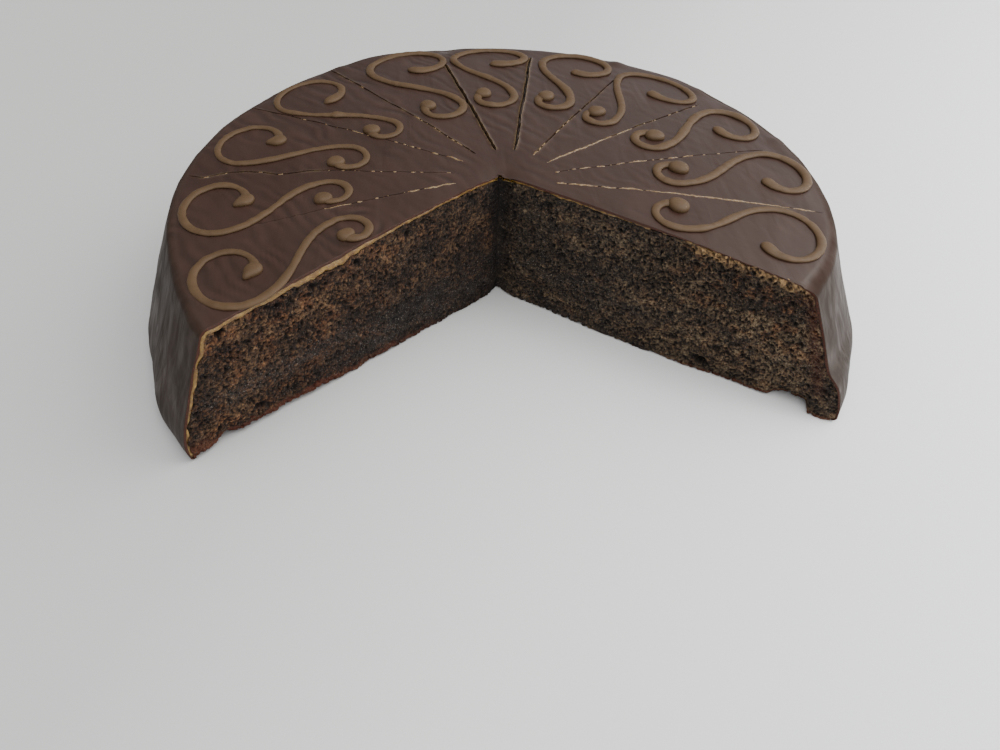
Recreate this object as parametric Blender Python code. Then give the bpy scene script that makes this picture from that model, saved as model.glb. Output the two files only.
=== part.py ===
"""Sachertorte with a wedge of servings already cut out.

Frame: metres, +Z up. The origin is on the underside, on the axis of the cake.
The missing wedge opens towards -Y. The cake stands on the plane z = 0.

Build: a plain round chocolate sponge in two layers with a thin band of jam
between them, brushed all over with apricot jam and coated with a chocolate
glaze. The glaze is scored into servings, and each serving left carries one
piped S-scroll.
"""

import math

import bmesh
import bpy

MM = 0.001

# ---------------------------------------------------------------- sizes (mm)
HEIGHT = 46.0             # underside to the edge of the domed top
CROWN = 4.9               # the top rises by this much towards the middle
TOP_FLAT_RADIUS = 107.3   # where the top starts to round over
DOME_RINGS = (36.0, 65.0, 88.0)
SHOULDER_RADIUS = 111.0   # where the rounded rim meets the leaning side
SHOULDER_DROP = 2.4       # height of the rounded rim
SIDE_LEAN = 0.40          # the side moves out by this much per mm down
WAIST_DROP = 26.0         # below this the side flares into the foot
FOOT_LEAN = 0.45
FOOT_DROP = 34.0          # below this the side is nearly upright
BASE_RADIUS = 126.0

WEDGE_LEFT = 215.9        # direction of the two cuts, degrees
WEDGE_RIGHT = -35.9
APEX = (-1.8, 2.1)        # the two cuts meet just behind the axis
ARC_STEPS = 42

GAP = 0.3
GLAZE_TOP = 1.3
GLAZE_SIDE = 1.4
GLAZE_FOOT = 0.5          # the glaze stops this far above the underside
COAT_TOP = 1.2
COAT_SIDE = 0.9
COAT_FOOT = 1.2
FILLING_BOTTOM = 16.1
FILLING_TOP = 17.9

# Scores: each starts at the hub of the divider, a circle about the axis.
SCORE_WIDTH = 0.6
SCORE_DEPTH = 0.8
SCORE_INNER = 17.4
SCORE_STEPS = 4
# The servings are even, but each score came out a degree or so off.
SERVINGS = 11
SCORE_TWIST = 4.0         # the divider turned this far from hub to rim, degrees
SCORE_SLIP = (-1, 1, -2, -1, -3, -2, -2, -1, 0, 1)              # degrees
SCORE_REACH = (92, 107, 107, 107, 91, 97, 97, 96, 98, 106)      # mm

# A dome-shaped hollow under the edge of the base at the right-hand cut.
HOLLOW_RADIUS_AT = 113.0
HOLLOW_HALF_WIDTH = 7.0
HOLLOW_DEPTH = 9.0
HOLLOW_HEIGHT = 3.8

# Piped strand
STRAND_WIDTH = 3.0
STRAND_HEIGHT = 2.4
STRAND_END_SWELL = 1.35
STRAND_STEPS = 32

# Scrolls: an outer and an inner loop on the middle line of each serving.
OUTER_AT = 93.0           # the loops' centres from the axis
INNER_AT = 59.0
OUTER_ACROSS = 13.0       # half widths across and along the serving
OUTER_ALONG = 11.5
INNER_LOOP = 6.8
OUTER_START = 172.0       # from the middle line, degrees
OUTER_SWEEP = 295.0
INNER_START = 60.0
INNER_SWEEP = 220.0
OUTER_TIGHT = 0.40        # each free end is wound in to this share
INNER_TIGHT = 0.50
JOIN_SLACK = 1.15
# The hand's unevenness, only where a scroll differs: how far its outer and inner
# loop lie out and anticlockwise (mm), their size and how flat the outer one is
# (tenths), how open the outer end is and how far the inner one is wound in
# (tenths), and how much later each end begins (degrees).
HAND = (
    dict(outer=(2, 3), big=1, inner=(0, 2), small=1, wound=3),
    dict(outer=(0, 3), big=1, open=2, start=20, inner=(0, 2)),
    dict(outer=(-1, 2), open=4, start=30, inner=(-3, 4), small=1),
    dict(outer=(0, 1), big=1, open=2, inner=(-5, 4)),
    dict(outer=(-1, -6), big=3, flat=1, open=-3, start=-20, inner=(-5, -1), small=3),
    dict(outer=(0, -2), big=2, flat=3, inner=(-1, 0), small=2),
    dict(outer=(0, -1), big=1, flat=1),
    dict(outer=(0, 0), big=3, flat=3, inner=(-2, 2), small=-1),
    dict(outer=(1, 0), big=-1, inner=(1, 1), small=-1, end=-30),
    dict(outer=(2, 2), open=1, start=40, inner=(0, 1)),
    dict(outer=(-1, 2), big=1, open=2, start=55, small=2, end=45),
)


# ------------------------------------------------------------------- helpers
def clear_scene():
    for obj in list(bpy.data.objects):
        bpy.data.objects.remove(obj, do_unlink=True)


def material(name, colour, roughness):
    mat = bpy.data.materials.new(name)
    mat.use_nodes = True
    shader = mat.node_tree.nodes["Principled BSDF"]
    shader.inputs["Base Color"].default_value = (*colour, 1.0)
    shader.inputs["Roughness"].default_value = roughness
    shader.inputs["Metallic"].default_value = 0.0
    return mat


def new_object(name, bm, mat, smooth_angle=40.0):
    bmesh.ops.recalc_face_normals(bm, faces=bm.faces[:])
    mesh = bpy.data.meshes.new(name)
    bm.to_mesh(mesh)
    bm.free()
    mesh.materials.append(mat)
    mesh.shade_smooth()
    mesh.set_sharp_from_angle(angle=math.radians(smooth_angle))
    obj = bpy.data.objects.new(name, mesh)
    bpy.context.scene.collection.objects.link(obj)
    return obj


# -------------------------------------------------------- scores and servings
def score(number):
    """Direction of the inner end and of the outer end, and the outer radius."""
    serving = (WEDGE_LEFT - WEDGE_RIGHT) / SERVINGS
    outer = WEDGE_LEFT - serving * (number + 1) + SCORE_SLIP[number]
    return outer - SCORE_TWIST, outer, float(SCORE_REACH[number])


SCORES = tuple(score(number) for number in range(SERVINGS - 1))


# ------------------------------------------------------------- the cake body
def side_radius(drop):
    """Outer radius of the glazed side at this distance below the top."""
    lean = SHOULDER_RADIUS + SIDE_LEAN * (min(drop, WAIST_DROP) - SHOULDER_DROP)
    if drop <= WAIST_DROP:
        return lean
    foot = lean + FOOT_LEAN * (min(drop, FOOT_DROP) - WAIST_DROP)
    if drop <= FOOT_DROP:
        return foot
    share = (drop - FOOT_DROP) / (HEIGHT - FOOT_DROP)
    return foot + (BASE_RADIUS - foot) * math.sin(0.5 * math.pi * min(share * 1.4, 1.0))


def rise(radius):
    """Height of the domed top at this radius above its edge."""
    return CROWN * (1.0 - min(radius / TOP_FLAT_RADIUS, 1.0) ** 2)


def skin(top, inset, foot):
    """(radius, height) over the dome, round the rim and down the side of a
    surface that lies this far inside the glaze, with the dome's edge at this
    height."""
    rim = top - SHOULDER_DROP
    rim_radius = side_radius(HEIGHT - rim) - inset
    flat = SHOULDER_RADIUS - TOP_FLAT_RADIUS
    points = [(radius, top + rise(radius)) for radius in DOME_RINGS]
    points += [(rim_radius - flat, top + rise(rim_radius - flat)),
               (rim_radius - 0.38 * flat, top - 0.3 * SHOULDER_DROP),
               (rim_radius, rim)]
    for drop in (8.0, 17.0, WAIST_DROP, 30.0, FOOT_DROP, 39.0):
        if foot < HEIGHT - drop < rim - 1.0:
            points.append((side_radius(drop) - inset, HEIGHT - drop))
    points.append((side_radius(HEIGHT - foot) - inset, foot))
    return points


def covering_section(top, inset, thick_top, thick_side, foot):
    """Section of a coat over the top and down the side, from the axis out,
    down, and back along its inner face."""
    return skin(top, inset, foot) + skin(top - thick_top, inset + thick_side, foot)[::-1]


def layer_section(bottom, top, inset, rounded):
    """Section of a solid layer from the axis out along its underside, up the
    side and back to the axis along its top."""
    if rounded:
        return skin(top, inset, bottom)[::-1]
    section = [(side_radius(HEIGHT - bottom) - inset, bottom)]
    for drop in (39.0, FOOT_DROP, 30.0):
        if bottom + 0.5 < HEIGHT - drop < top - 0.5:
            section.append((side_radius(drop) - inset, HEIGHT - drop))
    section.append((side_radius(HEIGHT - top) - inset, top))
    return section


def on_cut(radius, degrees):
    """Where the cut from the apex in this direction meets the circle of this
    radius about the axis, as an angle."""
    dx, dy = math.cos(math.radians(degrees)), math.sin(math.radians(degrees))
    along = APEX[0] * dx + APEX[1] * dy
    reach = -along + math.sqrt(along ** 2 - APEX[0] ** 2 - APEX[1] ** 2 + radius ** 2)
    angle = math.degrees(math.atan2(APEX[1] + reach * dy, APEX[0] + reach * dx))
    return angle % 360.0 if degrees > 90 else angle


def sector_solid(name, section, mat, mm_first, mm_last):
    """Sweeps a section round from the right cut to the left cut. The section
    starts and ends on the vertical line through the apex, at these heights."""
    bm = bmesh.new()
    first = bm.verts.new((APEX[0] * MM, APEX[1] * MM, mm_first * MM))
    last = bm.verts.new((APEX[0] * MM, APEX[1] * MM, mm_last * MM))
    rings = []
    for step in range(ARC_STEPS + 1):
        ring = []
        for radius, z in section:
            right, left = on_cut(radius, WEDGE_RIGHT), on_cut(radius, WEDGE_LEFT)
            angle = math.radians(right + (left - right) * step / ARC_STEPS)
            ring.append(bm.verts.new((radius * math.cos(angle) * MM,
                                      radius * math.sin(angle) * MM, z * MM)))
        rings.append(ring)
    for a, b in zip(rings, rings[1:]):
        bm.faces.new((first, a[0], b[0]))
        for i in range(len(section) - 1):
            bm.faces.new((a[i], a[i + 1], b[i + 1], b[i]))
        bm.faces.new((last, b[-1], a[-1]))
    for ring in (rings[0], rings[-1]):
        bm.faces.new([first, *ring, last])
    return new_object(name, bm, mat)


def cutter(name, bm):
    bmesh.ops.recalc_face_normals(bm, faces=bm.faces[:])
    mesh = bpy.data.meshes.new(name)
    bm.to_mesh(mesh)
    bm.free()
    obj = bpy.data.objects.new(name, mesh)
    bpy.context.scene.collection.objects.link(obj)
    obj.hide_render = True
    obj.display_type = "WIRE"
    return obj


def cut_away(obj, tool):
    boolean = obj.modifiers.new(tool.name, "BOOLEAN")
    boolean.operation = "DIFFERENCE"
    boolean.solver = "EXACT"
    boolean.object = tool


def score_cutters():
    """One narrow upright blade for each score, its edge following the dome."""
    bm = bmesh.new()
    for first, last, reach in SCORES:
        start = (SCORE_INNER * math.cos(math.radians(first)), SCORE_INNER * math.sin(math.radians(first)))
        end = (reach * math.cos(math.radians(last)), reach * math.sin(math.radians(last)))
        length = math.dist(start, end)
        nx, ny = -(end[1] - start[1]) / length, (end[0] - start[0]) / length
        rings = []
        for step in range(SCORE_STEPS + 1):
            share = step / SCORE_STEPS
            x = start[0] + (end[0] - start[0]) * share
            y = start[1] + (end[1] - start[1]) * share
            surface = HEIGHT + rise(math.hypot(x, y))
            ring = []
            for side, up in ((-0.5, -SCORE_DEPTH), (0.5, -SCORE_DEPTH), (0.5, 2.0), (-0.5, 2.0)):
                ring.append(bm.verts.new(((x + nx * SCORE_WIDTH * side) * MM,
                                          (y + ny * SCORE_WIDTH * side) * MM,
                                          (surface + up) * MM)))
            rings.append(ring)
        for a, b in zip(rings, rings[1:]):
            for i in range(4):
                j = (i + 1) % 4
                bm.faces.new((a[i], a[j], b[j], b[i]))
        bm.faces.new(rings[0])
        bm.faces.new(rings[-1][::-1])
    return cutter("score_blades", bm)


def hollow_cutter():
    """A flattened ball centred on the right cut at the level of the base."""
    bm = bmesh.new()
    bmesh.ops.create_uvsphere(bm, u_segments=12, v_segments=8, radius=1.0)
    for v in bm.verts:
        v.co.x *= HOLLOW_HALF_WIDTH * MM
        v.co.y *= HOLLOW_DEPTH * MM
        v.co.z *= HOLLOW_HEIGHT * MM
    tool = cutter("base_hollow", bm)
    direction = math.radians(WEDGE_RIGHT)
    tool.location = ((APEX[0] + HOLLOW_RADIUS_AT * math.cos(direction)) * MM,
                     (APEX[1] + HOLLOW_RADIUS_AT * math.sin(direction)) * MM, 0.0)
    tool.rotation_euler = (0.0, 0.0, direction)
    return tool


# ---------------------------------------------------------------- the piping
def scroll_loops(number):
    """The two loops of a scroll and the slack of the join between them."""
    hand = HAND[number]
    edges = [WEDGE_LEFT] + [outer for _, outer, _ in SCORES] + [WEDGE_RIGHT]
    middle = 0.5 * (edges[number] + edges[number + 1])
    c, s = math.cos(math.radians(middle)), math.sin(math.radians(middle))

    def centre(at, shift):
        out, sideways = at + shift[0], shift[1]
        return out * c - sideways * s, out * s + sideways * c

    late, end = hand.get("start", 0), hand.get("end", 0)
    outer = (*centre(OUTER_AT, hand.get("outer", (0, 0))),
             OUTER_ACROSS * (1 + 0.1 * hand.get("big", 0)), OUTER_ALONG / OUTER_ACROSS * (1 - 0.1 * hand.get("flat", 0)),
             middle - 90.0, OUTER_START + 90.0 + late, OUTER_SWEEP - late,
             OUTER_TIGHT + 0.1 * hand.get("open", 0))
    inner = (*centre(INNER_AT, hand.get("inner", (0, 0))),
             INNER_LOOP * (1 + 0.1 * hand.get("small", 0)), 1.0,
             middle, INNER_START + end, INNER_SWEEP - end,
             INNER_TIGHT - 0.1 * hand.get("wound", 0))
    return outer, inner, JOIN_SLACK


def loop_points(loop, count):
    """An ellipse (x, y, radius, aspect, tilt, start, sweep, tightness) run from
    its free end, which is wound in by the tightness."""
    x, y, radius, aspect, tilt, start, sweep, tight = loop
    c, s = math.cos(math.radians(tilt)), math.sin(math.radians(tilt))
    points = []
    for i in range(count + 1):
        share = i / count
        angle = math.radians(start + sweep * share)
        grow = tight + (1.0 - tight) * math.sin(0.5 * math.pi * min(share / 0.6, 1.0))
        u = radius * grow * math.cos(angle)
        v = radius * aspect * grow * math.sin(angle)
        points.append((x + c * u - s * v, y + s * u + c * v))
    return points


def scroll_path(outer, inner, slack):
    """Outer loop from its free end, an easy S between, then the inner loop."""
    a = loop_points(outer, 60)
    b = loop_points(inner, 60)[::-1]

    def heading(p, q):
        length = math.dist(p, q)
        return (q[0] - p[0]) / length, (q[1] - p[1]) / length

    leave, join = heading(a[-2], a[-1]), heading(b[0], b[1])
    pull = math.dist(a[-1], b[0]) * slack
    middle = []
    for i in range(1, 30):
        t = i / 30
        w0 = 2 * t ** 3 - 3 * t ** 2 + 1
        w1 = (t ** 3 - 2 * t ** 2 + t) * pull
        w2 = -2 * t ** 3 + 3 * t ** 2
        w3 = (t ** 3 - t ** 2) * pull
        middle.append((w0 * a[-1][0] + w1 * leave[0] + w2 * b[0][0] + w3 * join[0],
                       w0 * a[-1][1] + w1 * leave[1] + w2 * b[0][1] + w3 * join[1]))
    return a + middle + b


def even_steps(path, count):
    """The same path as count + 1 points: closer together where it turns."""
    weights = [0.0]
    for i in range(1, len(path)):
        before, here = path[max(i - 2, 0)], path[i - 1]
        length = math.dist(path[i - 1], path[i])
        turn = 0.0
        if i >= 2:
            a = math.atan2(here[1] - before[1], here[0] - before[0])
            b = math.atan2(path[i][1] - here[1], path[i][0] - here[0])
            turn = abs((b - a + math.pi) % (2 * math.pi) - math.pi)
        weights.append(weights[-1] + length + 5.0 * turn)
    points, k = [], 0
    for i in range(count + 1):
        target = weights[-1] * i / count
        while k < len(weights) - 2 and weights[k + 1] < target:
            k += 1
        share = (target - weights[k]) / (weights[k + 1] - weights[k])
        points.append((path[k][0] + (path[k + 1][0] - path[k][0]) * share,
                       path[k][1] + (path[k + 1][1] - path[k][1]) * share))
    return points


def strand(name, path, mat):
    """A piped strand: a flat underside and a rounded back, swollen at its ends."""
    outline = ((-0.40, 0.0), (-0.50, 0.45), (0.0, 1.0), (0.50, 0.45), (0.40, 0.0))
    points = even_steps(path, STRAND_STEPS)
    bm = bmesh.new()
    rings = []
    for i, (x, y) in enumerate(points):
        before, after = points[max(i - 1, 0)], points[min(i + 1, STRAND_STEPS)]
        length = math.dist(before, after)
        nx, ny = -(after[1] - before[1]) / length, (after[0] - before[0]) / length
        to_end = min(i, STRAND_STEPS - i)
        swell = 1.0 + (STRAND_END_SWELL - 1.0) * max(0.0, 1.0 - to_end / 4.0)
        if to_end == 0:
            swell *= 0.55
        width, height = STRAND_WIDTH * swell, STRAND_HEIGHT * swell
        ring = []
        for across, up in outline:
            px, py = x + nx * width * across, y + ny * width * across
            base = HEIGHT + rise(math.hypot(px, py)) + GAP
            ring.append(bm.verts.new((px * MM, py * MM, (base + height * up) * MM)))
        rings.append(ring)
    for a, b in zip(rings, rings[1:]):
        for i in range(len(outline)):
            j = (i + 1) % len(outline)
            bm.faces.new((a[i], a[j], b[j], b[i]))
    bm.faces.new(rings[0])
    bm.faces.new(rings[-1][::-1])
    return new_object(name, bm, mat, 70.0)


# ----------------------------------------------------------------------- main
def main():
    clear_scene()
    sponge = material("sponge", (0.070, 0.034, 0.018), 0.85)
    filling = material("jam_band", (0.035, 0.016, 0.010), 0.35)
    apricot = material("apricot_jam", (0.45, 0.24, 0.06), 0.35)
    chocolate = material("chocolate_glaze", (0.070, 0.042, 0.036), 0.32)
    piping = material("piped_chocolate", (0.19, 0.105, 0.060), 0.5)

    glaze_section = covering_section(HEIGHT, 0.0, GLAZE_TOP, GLAZE_SIDE, GLAZE_FOOT)
    glaze_under = HEIGHT - GLAZE_TOP
    peak = rise(math.hypot(*APEX))
    glaze = sector_solid("glaze", glaze_section, chocolate, HEIGHT + peak, glaze_under + peak)
    cut_away(glaze, score_cutters())

    coat_top = glaze_under - GAP
    coat_inset = GLAZE_SIDE + GAP
    coat_section = covering_section(coat_top, coat_inset, COAT_TOP, COAT_SIDE, COAT_FOOT)
    coat_under = coat_top - COAT_TOP
    sector_solid("jam_coat", coat_section, apricot, coat_top + peak, coat_under + peak)

    cake_inset = coat_inset + COAT_SIDE + GAP
    cake_top = coat_under - GAP
    sector_solid("sponge_upper", layer_section(FILLING_TOP + GAP, cake_top, cake_inset, True),
                 sponge, FILLING_TOP + GAP, cake_top + peak)
    sector_solid("jam_filling", layer_section(FILLING_BOTTOM, FILLING_TOP, cake_inset, False),
                 filling, FILLING_BOTTOM, FILLING_TOP)
    lower = sector_solid("sponge_lower", layer_section(0.0, FILLING_BOTTOM - GAP, cake_inset, False),
                         sponge, 0.0, FILLING_BOTTOM - GAP)
    cut_away(lower, hollow_cutter())

    for number in range(SERVINGS):
        strand("scroll_%02d" % (number + 1), scroll_path(*scroll_loops(number)), piping)


main()
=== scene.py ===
# Looks of a glazed chocolate torte with a wedge cut out. All lengths are in
# millimetres until a mesh is made. Frame: origin on the axis on the base,
# +Z up, the missing wedge opens towards -Y.
import math

import bpy
import numpy as np
from mathutils import Matrix, Vector
from mathutils.geometry import tessellate_polygon


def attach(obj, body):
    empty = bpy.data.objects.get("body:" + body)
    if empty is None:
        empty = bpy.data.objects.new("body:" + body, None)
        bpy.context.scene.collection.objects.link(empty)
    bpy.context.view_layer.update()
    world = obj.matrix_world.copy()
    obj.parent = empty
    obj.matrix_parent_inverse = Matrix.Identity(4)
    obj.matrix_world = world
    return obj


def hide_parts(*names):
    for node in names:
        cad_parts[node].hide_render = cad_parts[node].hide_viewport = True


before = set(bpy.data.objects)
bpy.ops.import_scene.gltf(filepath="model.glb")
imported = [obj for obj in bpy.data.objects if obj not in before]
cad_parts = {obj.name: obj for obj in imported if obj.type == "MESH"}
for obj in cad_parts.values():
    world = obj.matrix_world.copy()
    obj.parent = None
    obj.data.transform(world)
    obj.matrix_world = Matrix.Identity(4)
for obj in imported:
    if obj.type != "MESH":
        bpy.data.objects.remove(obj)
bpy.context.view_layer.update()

MM = 0.001

# ------------------------------------------------------------ named measures
RIM_HEIGHT = 46.0
CROWN = 4.9
TOP_RADIUS = 107.5
APEX = np.array([-1.8, 2.1])
HUB = 17.4
BAND_LOW = 15.95
BAND_HIGH = 18.05

WEDGE_LEFT = 215.9        # direction of the two cuts, degrees
WEDGE_RIGHT = -35.9
CUT_LEFT = math.radians(WEDGE_LEFT)
CUT_RIGHT = math.radians(WEDGE_RIGHT)
# Scores: the servings are even, but each score came out a degree or so off.
SERVINGS = 11
SCORE_TWIST = 4.0         # the divider turned this far from hub to rim, degrees
SCORE_SLIP = (-1, 1, -2, -1, -3, -2, -2, -1, 0, 1)              # degrees
SCORE_REACH = (92, 107, 107, 107, 91, 97, 97, 96, 98, 106)      # mm

# Scrolls: an outer and an inner loop on the middle line of each serving.
OUTER_AT = 93.0           # the loops' centres from the axis
INNER_AT = 59.0
OUTER_ACROSS = 13.0       # half widths across and along the serving
OUTER_ALONG = 11.5
INNER_LOOP = 6.8
OUTER_START = 172.0       # from the middle line, degrees
OUTER_SWEEP = 295.0
INNER_START = 60.0
INNER_SWEEP = 220.0
OUTER_TIGHT = 0.40        # each free end is wound in to this share
INNER_TIGHT = 0.50
JOIN_SLACK = 1.15
# The hand's unevenness, only where a scroll differs: how far its outer and inner
# loop lie out and anticlockwise (mm), their size and how flat the outer one is
# (tenths), how open the outer end is and how far the inner one is wound in
# (tenths), and how much later each end begins (degrees).
HAND = (
    dict(outer=(2, 3), big=1, inner=(0, 2), small=1, wound=3),
    dict(outer=(0, 3), big=1, open=2, start=20, inner=(0, 2)),
    dict(outer=(-1, 2), open=4, start=30, inner=(-3, 4), small=1),
    dict(outer=(0, 1), big=1, open=2, inner=(-5, 4)),
    dict(outer=(-1, -6), big=3, flat=1, open=-3, start=-20, inner=(-5, -1), small=3),
    dict(outer=(0, -2), big=2, flat=3, inner=(-1, 0), small=2),
    dict(outer=(0, -1), big=1, flat=1),
    dict(outer=(0, 0), big=3, flat=3, inner=(-2, 2), small=-1),
    dict(outer=(1, 0), big=-1, inner=(1, 1), small=-1, end=-30),
    dict(outer=(2, 2), open=1, start=40, inner=(0, 1)),
    dict(outer=(-1, 2), big=1, open=2, start=55, small=2, end=45),
)
# strand width, swell of the outer end and its length, pulled tip
STRANDS = (
    (2.80, 1.0, 5.0, 0.0), (2.75, 1.0, 5.0, 0.0), (2.75, 1.0, 4.8, 0.0), (2.60, 1.80, 8.0, 0.0),
    (3.10, 1.60, 7.5, 0.0), (3.10, 1.58, 9.0, 0.1), (3.45, 1.45, 8.0, 0.0), (3.05, 1.50, 7.0, 0.1),
    (3.45, 1.38, 6.0, 0.2), (3.45, 1.42, 6.5, 0.1), (2.95, 1.50, 6.5, 0.0),
)
# the bead that ends each inner loop: the hand pressed a little more each time
BEAD_RADIUS = 2.9
BEAD_GROWTH = 0.075
# the first three scrolls begin in a drop, with a beak that the nozzle pulled
DROPS = 3
DROP_RADIUS = 2.95
BEAK_REACH = 4.7
BEAK_TURN = 30.0          # from the serving's middle line, degrees


# ------------------------------------------------------------------- layout
def score(number):
    """Direction of the inner end and of the outer end, and the outer radius."""
    serving = (WEDGE_LEFT - WEDGE_RIGHT) / SERVINGS
    outer = WEDGE_LEFT - serving * (number + 1) + SCORE_SLIP[number]
    return outer - SCORE_TWIST, outer, float(SCORE_REACH[number])


SCORES = tuple(score(number) for number in range(SERVINGS - 1))


def scroll_loops(number):
    """The two loops of a scroll and the slack of the join between them."""
    hand = HAND[number]
    edges = [WEDGE_LEFT] + [outer for _, outer, _ in SCORES] + [WEDGE_RIGHT]
    middle = 0.5 * (edges[number] + edges[number + 1])
    c, s = math.cos(math.radians(middle)), math.sin(math.radians(middle))

    def centre(at, shift):
        out, sideways = at + shift[0], shift[1]
        return out * c - sideways * s, out * s + sideways * c

    late, end = hand.get("start", 0), hand.get("end", 0)
    outer = (*centre(OUTER_AT, hand.get("outer", (0, 0))),
             OUTER_ACROSS * (1 + 0.1 * hand.get("big", 0)), OUTER_ALONG / OUTER_ACROSS * (1 - 0.1 * hand.get("flat", 0)),
             middle - 90.0, OUTER_START + 90.0 + late, OUTER_SWEEP - late,
             OUTER_TIGHT + 0.1 * hand.get("open", 0))
    inner = (*centre(INNER_AT, hand.get("inner", (0, 0))),
             INNER_LOOP * (1 + 0.1 * hand.get("small", 0)), 1.0,
             middle, INNER_START + end, INNER_SWEEP - end,
             INNER_TIGHT - 0.1 * hand.get("wound", 0))
    return outer, inner, JOIN_SLACK


# --------------------------------------------------------------------- noise
def hash01(ix, iy, iz, seed):
    n = (ix.astype(np.int64) * 374761393 + iy.astype(np.int64) * 668265263
         + iz.astype(np.int64) * 1103515245 + seed * 974634777) & 0xFFFFFFFF
    n = ((n ^ (n >> 13)) * 1274126177) & 0xFFFFFFFF
    n = ((n ^ (n >> 16)) * 668265263) & 0xFFFFFFFF
    return (n ^ (n >> 15)) / 4294967296.0


def noise(x, y, z=0.0, seed=0):
    """Smooth value noise, -1 to 1."""
    x, y, z = np.broadcast_arrays(np.asarray(x, float), np.asarray(y, float), np.asarray(z, float))
    ix, iy, iz = np.floor(x), np.floor(y), np.floor(z)
    fx, fy, fz = x - ix, y - iy, z - iz
    fx, fy, fz = [f * f * f * (f * (f * 6 - 15) + 10) for f in (fx, fy, fz)]
    ix, iy, iz = ix.astype(np.int64), iy.astype(np.int64), iz.astype(np.int64)
    out = np.zeros(x.shape)
    for a in (0, 1):
        for b in (0, 1):
            for c in (0, 1):
                w = (fx if a else 1 - fx) * (fy if b else 1 - fy) * (fz if c else 1 - fz)
                out += w * hash01(ix + a, iy + b, iz + c, seed)
    return out * 2 - 1


def fbm(x, y, z=0.0, seed=0, octaves=3):
    total, amp, norm = 0.0, 1.0, 0.0
    for o in range(octaves):
        k = 2.03 ** o
        total = total + amp * noise(np.asarray(x) * k, np.asarray(y) * k, np.asarray(z) * k, seed + 17 * o)
        norm += amp
        amp *= 0.5
    return total / norm


def cells(x, y, seed, jitter=0.95):
    """Nearest and second nearest feature point and the id of the nearest."""
    ix, iy = np.floor(x).astype(np.int64), np.floor(y).astype(np.int64)
    near = np.full(x.shape, 9.0)
    second = np.full(x.shape, 9.0)
    who = np.zeros(x.shape)
    zero = np.zeros_like(ix)
    for a in (-1, 0, 1):
        for b in (-1, 0, 1):
            cx, cy = ix + a, iy + b
            px = cx + 0.5 + jitter * (hash01(cx, cy, zero, seed) - 0.5)
            py = cy + 0.5 + jitter * (hash01(cx, cy, zero + 1, seed) - 0.5)
            d = np.hypot(x - px, y - py)
            closer = d < near
            second = np.where(closer, near, np.minimum(second, d))
            who = np.where(closer, hash01(cx, cy, zero + 2, seed), who)
            near = np.where(closer, d, near)
    return near, second, who


def smooth(a, b, x):
    t = np.clip((np.asarray(x, float) - a) / (b - a), 0.0, 1.0)
    return t * t * (3 - 2 * t)


def bump(x, centre, width):
    return np.exp(-((np.asarray(x, float) - centre) / width) ** 2)


def through(x, *pairs):
    """Smooth-ish line through the named stations."""
    xs = np.array([p[0] for p in pairs], float)
    ys = np.array([p[1] for p in pairs], float)
    return np.interp(x, xs, ys)


# -------------------------------------------------------------------- meshes
def build_mesh(name, points, quads=(), tris=(), attributes=None, flat=False):
    quads = np.asarray(quads, np.int64).reshape(-1, 4)
    tris = np.asarray(tris, np.int64).reshape(-1, 3)
    mesh = bpy.data.meshes.new(name)
    corners = np.concatenate([quads.ravel(), tris.ravel()]).astype(np.int32)
    starts = np.concatenate([np.arange(len(quads)) * 4, len(quads) * 4 + np.arange(len(tris)) * 3])
    mesh.vertices.add(len(points))
    mesh.loops.add(len(corners))
    mesh.polygons.add(len(starts))
    mesh.vertices.foreach_set("co", (np.asarray(points, float) * MM).astype(np.float32).ravel())
    mesh.polygons.foreach_set("loop_start", starts.astype(np.int32))
    mesh.polygons.foreach_set("vertices", corners)
    mesh.update(calc_edges=True)
    for key, values in (attributes or {}).items():
        layer = mesh.attributes.new(key, "FLOAT", "POINT")
        layer.data.foreach_set("value", np.asarray(values, np.float32).ravel())
    if not flat:
        mesh.shade_smooth()
    obj = bpy.data.objects.new(name, mesh)
    bpy.context.scene.collection.objects.link(obj)
    return obj


def sharpen(obj, degrees):
    obj.data.set_sharp_from_angle(angle=math.radians(degrees))


def grid_quads(index):
    """Quads of a 2-D array of vertex numbers."""
    a, b, c, d = index[:-1, :-1], index[1:, :-1], index[1:, 1:], index[:-1, 1:]
    return np.stack([a, b, c, d], -1).reshape(-1, 4)


def stitch(one, two):
    """Triangles between two chains of vertex numbers of different length that
    start and end side by side."""
    one, two = np.asarray(one), np.asarray(two)
    tris, i, j = [], 0, 0
    while i < len(one) - 1 or j < len(two) - 1:
        step_one = (i + 1) / max(len(one) - 1, 1)
        step_two = (j + 1) / max(len(two) - 1, 1)
        if j == len(two) - 1 or (i < len(one) - 1 and step_one <= step_two):
            tris.append((one[i], one[i + 1], two[j]))
            i += 1
        else:
            tris.append((one[i], two[j + 1], two[j]))
            j += 1
    return np.array(tris)


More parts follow.
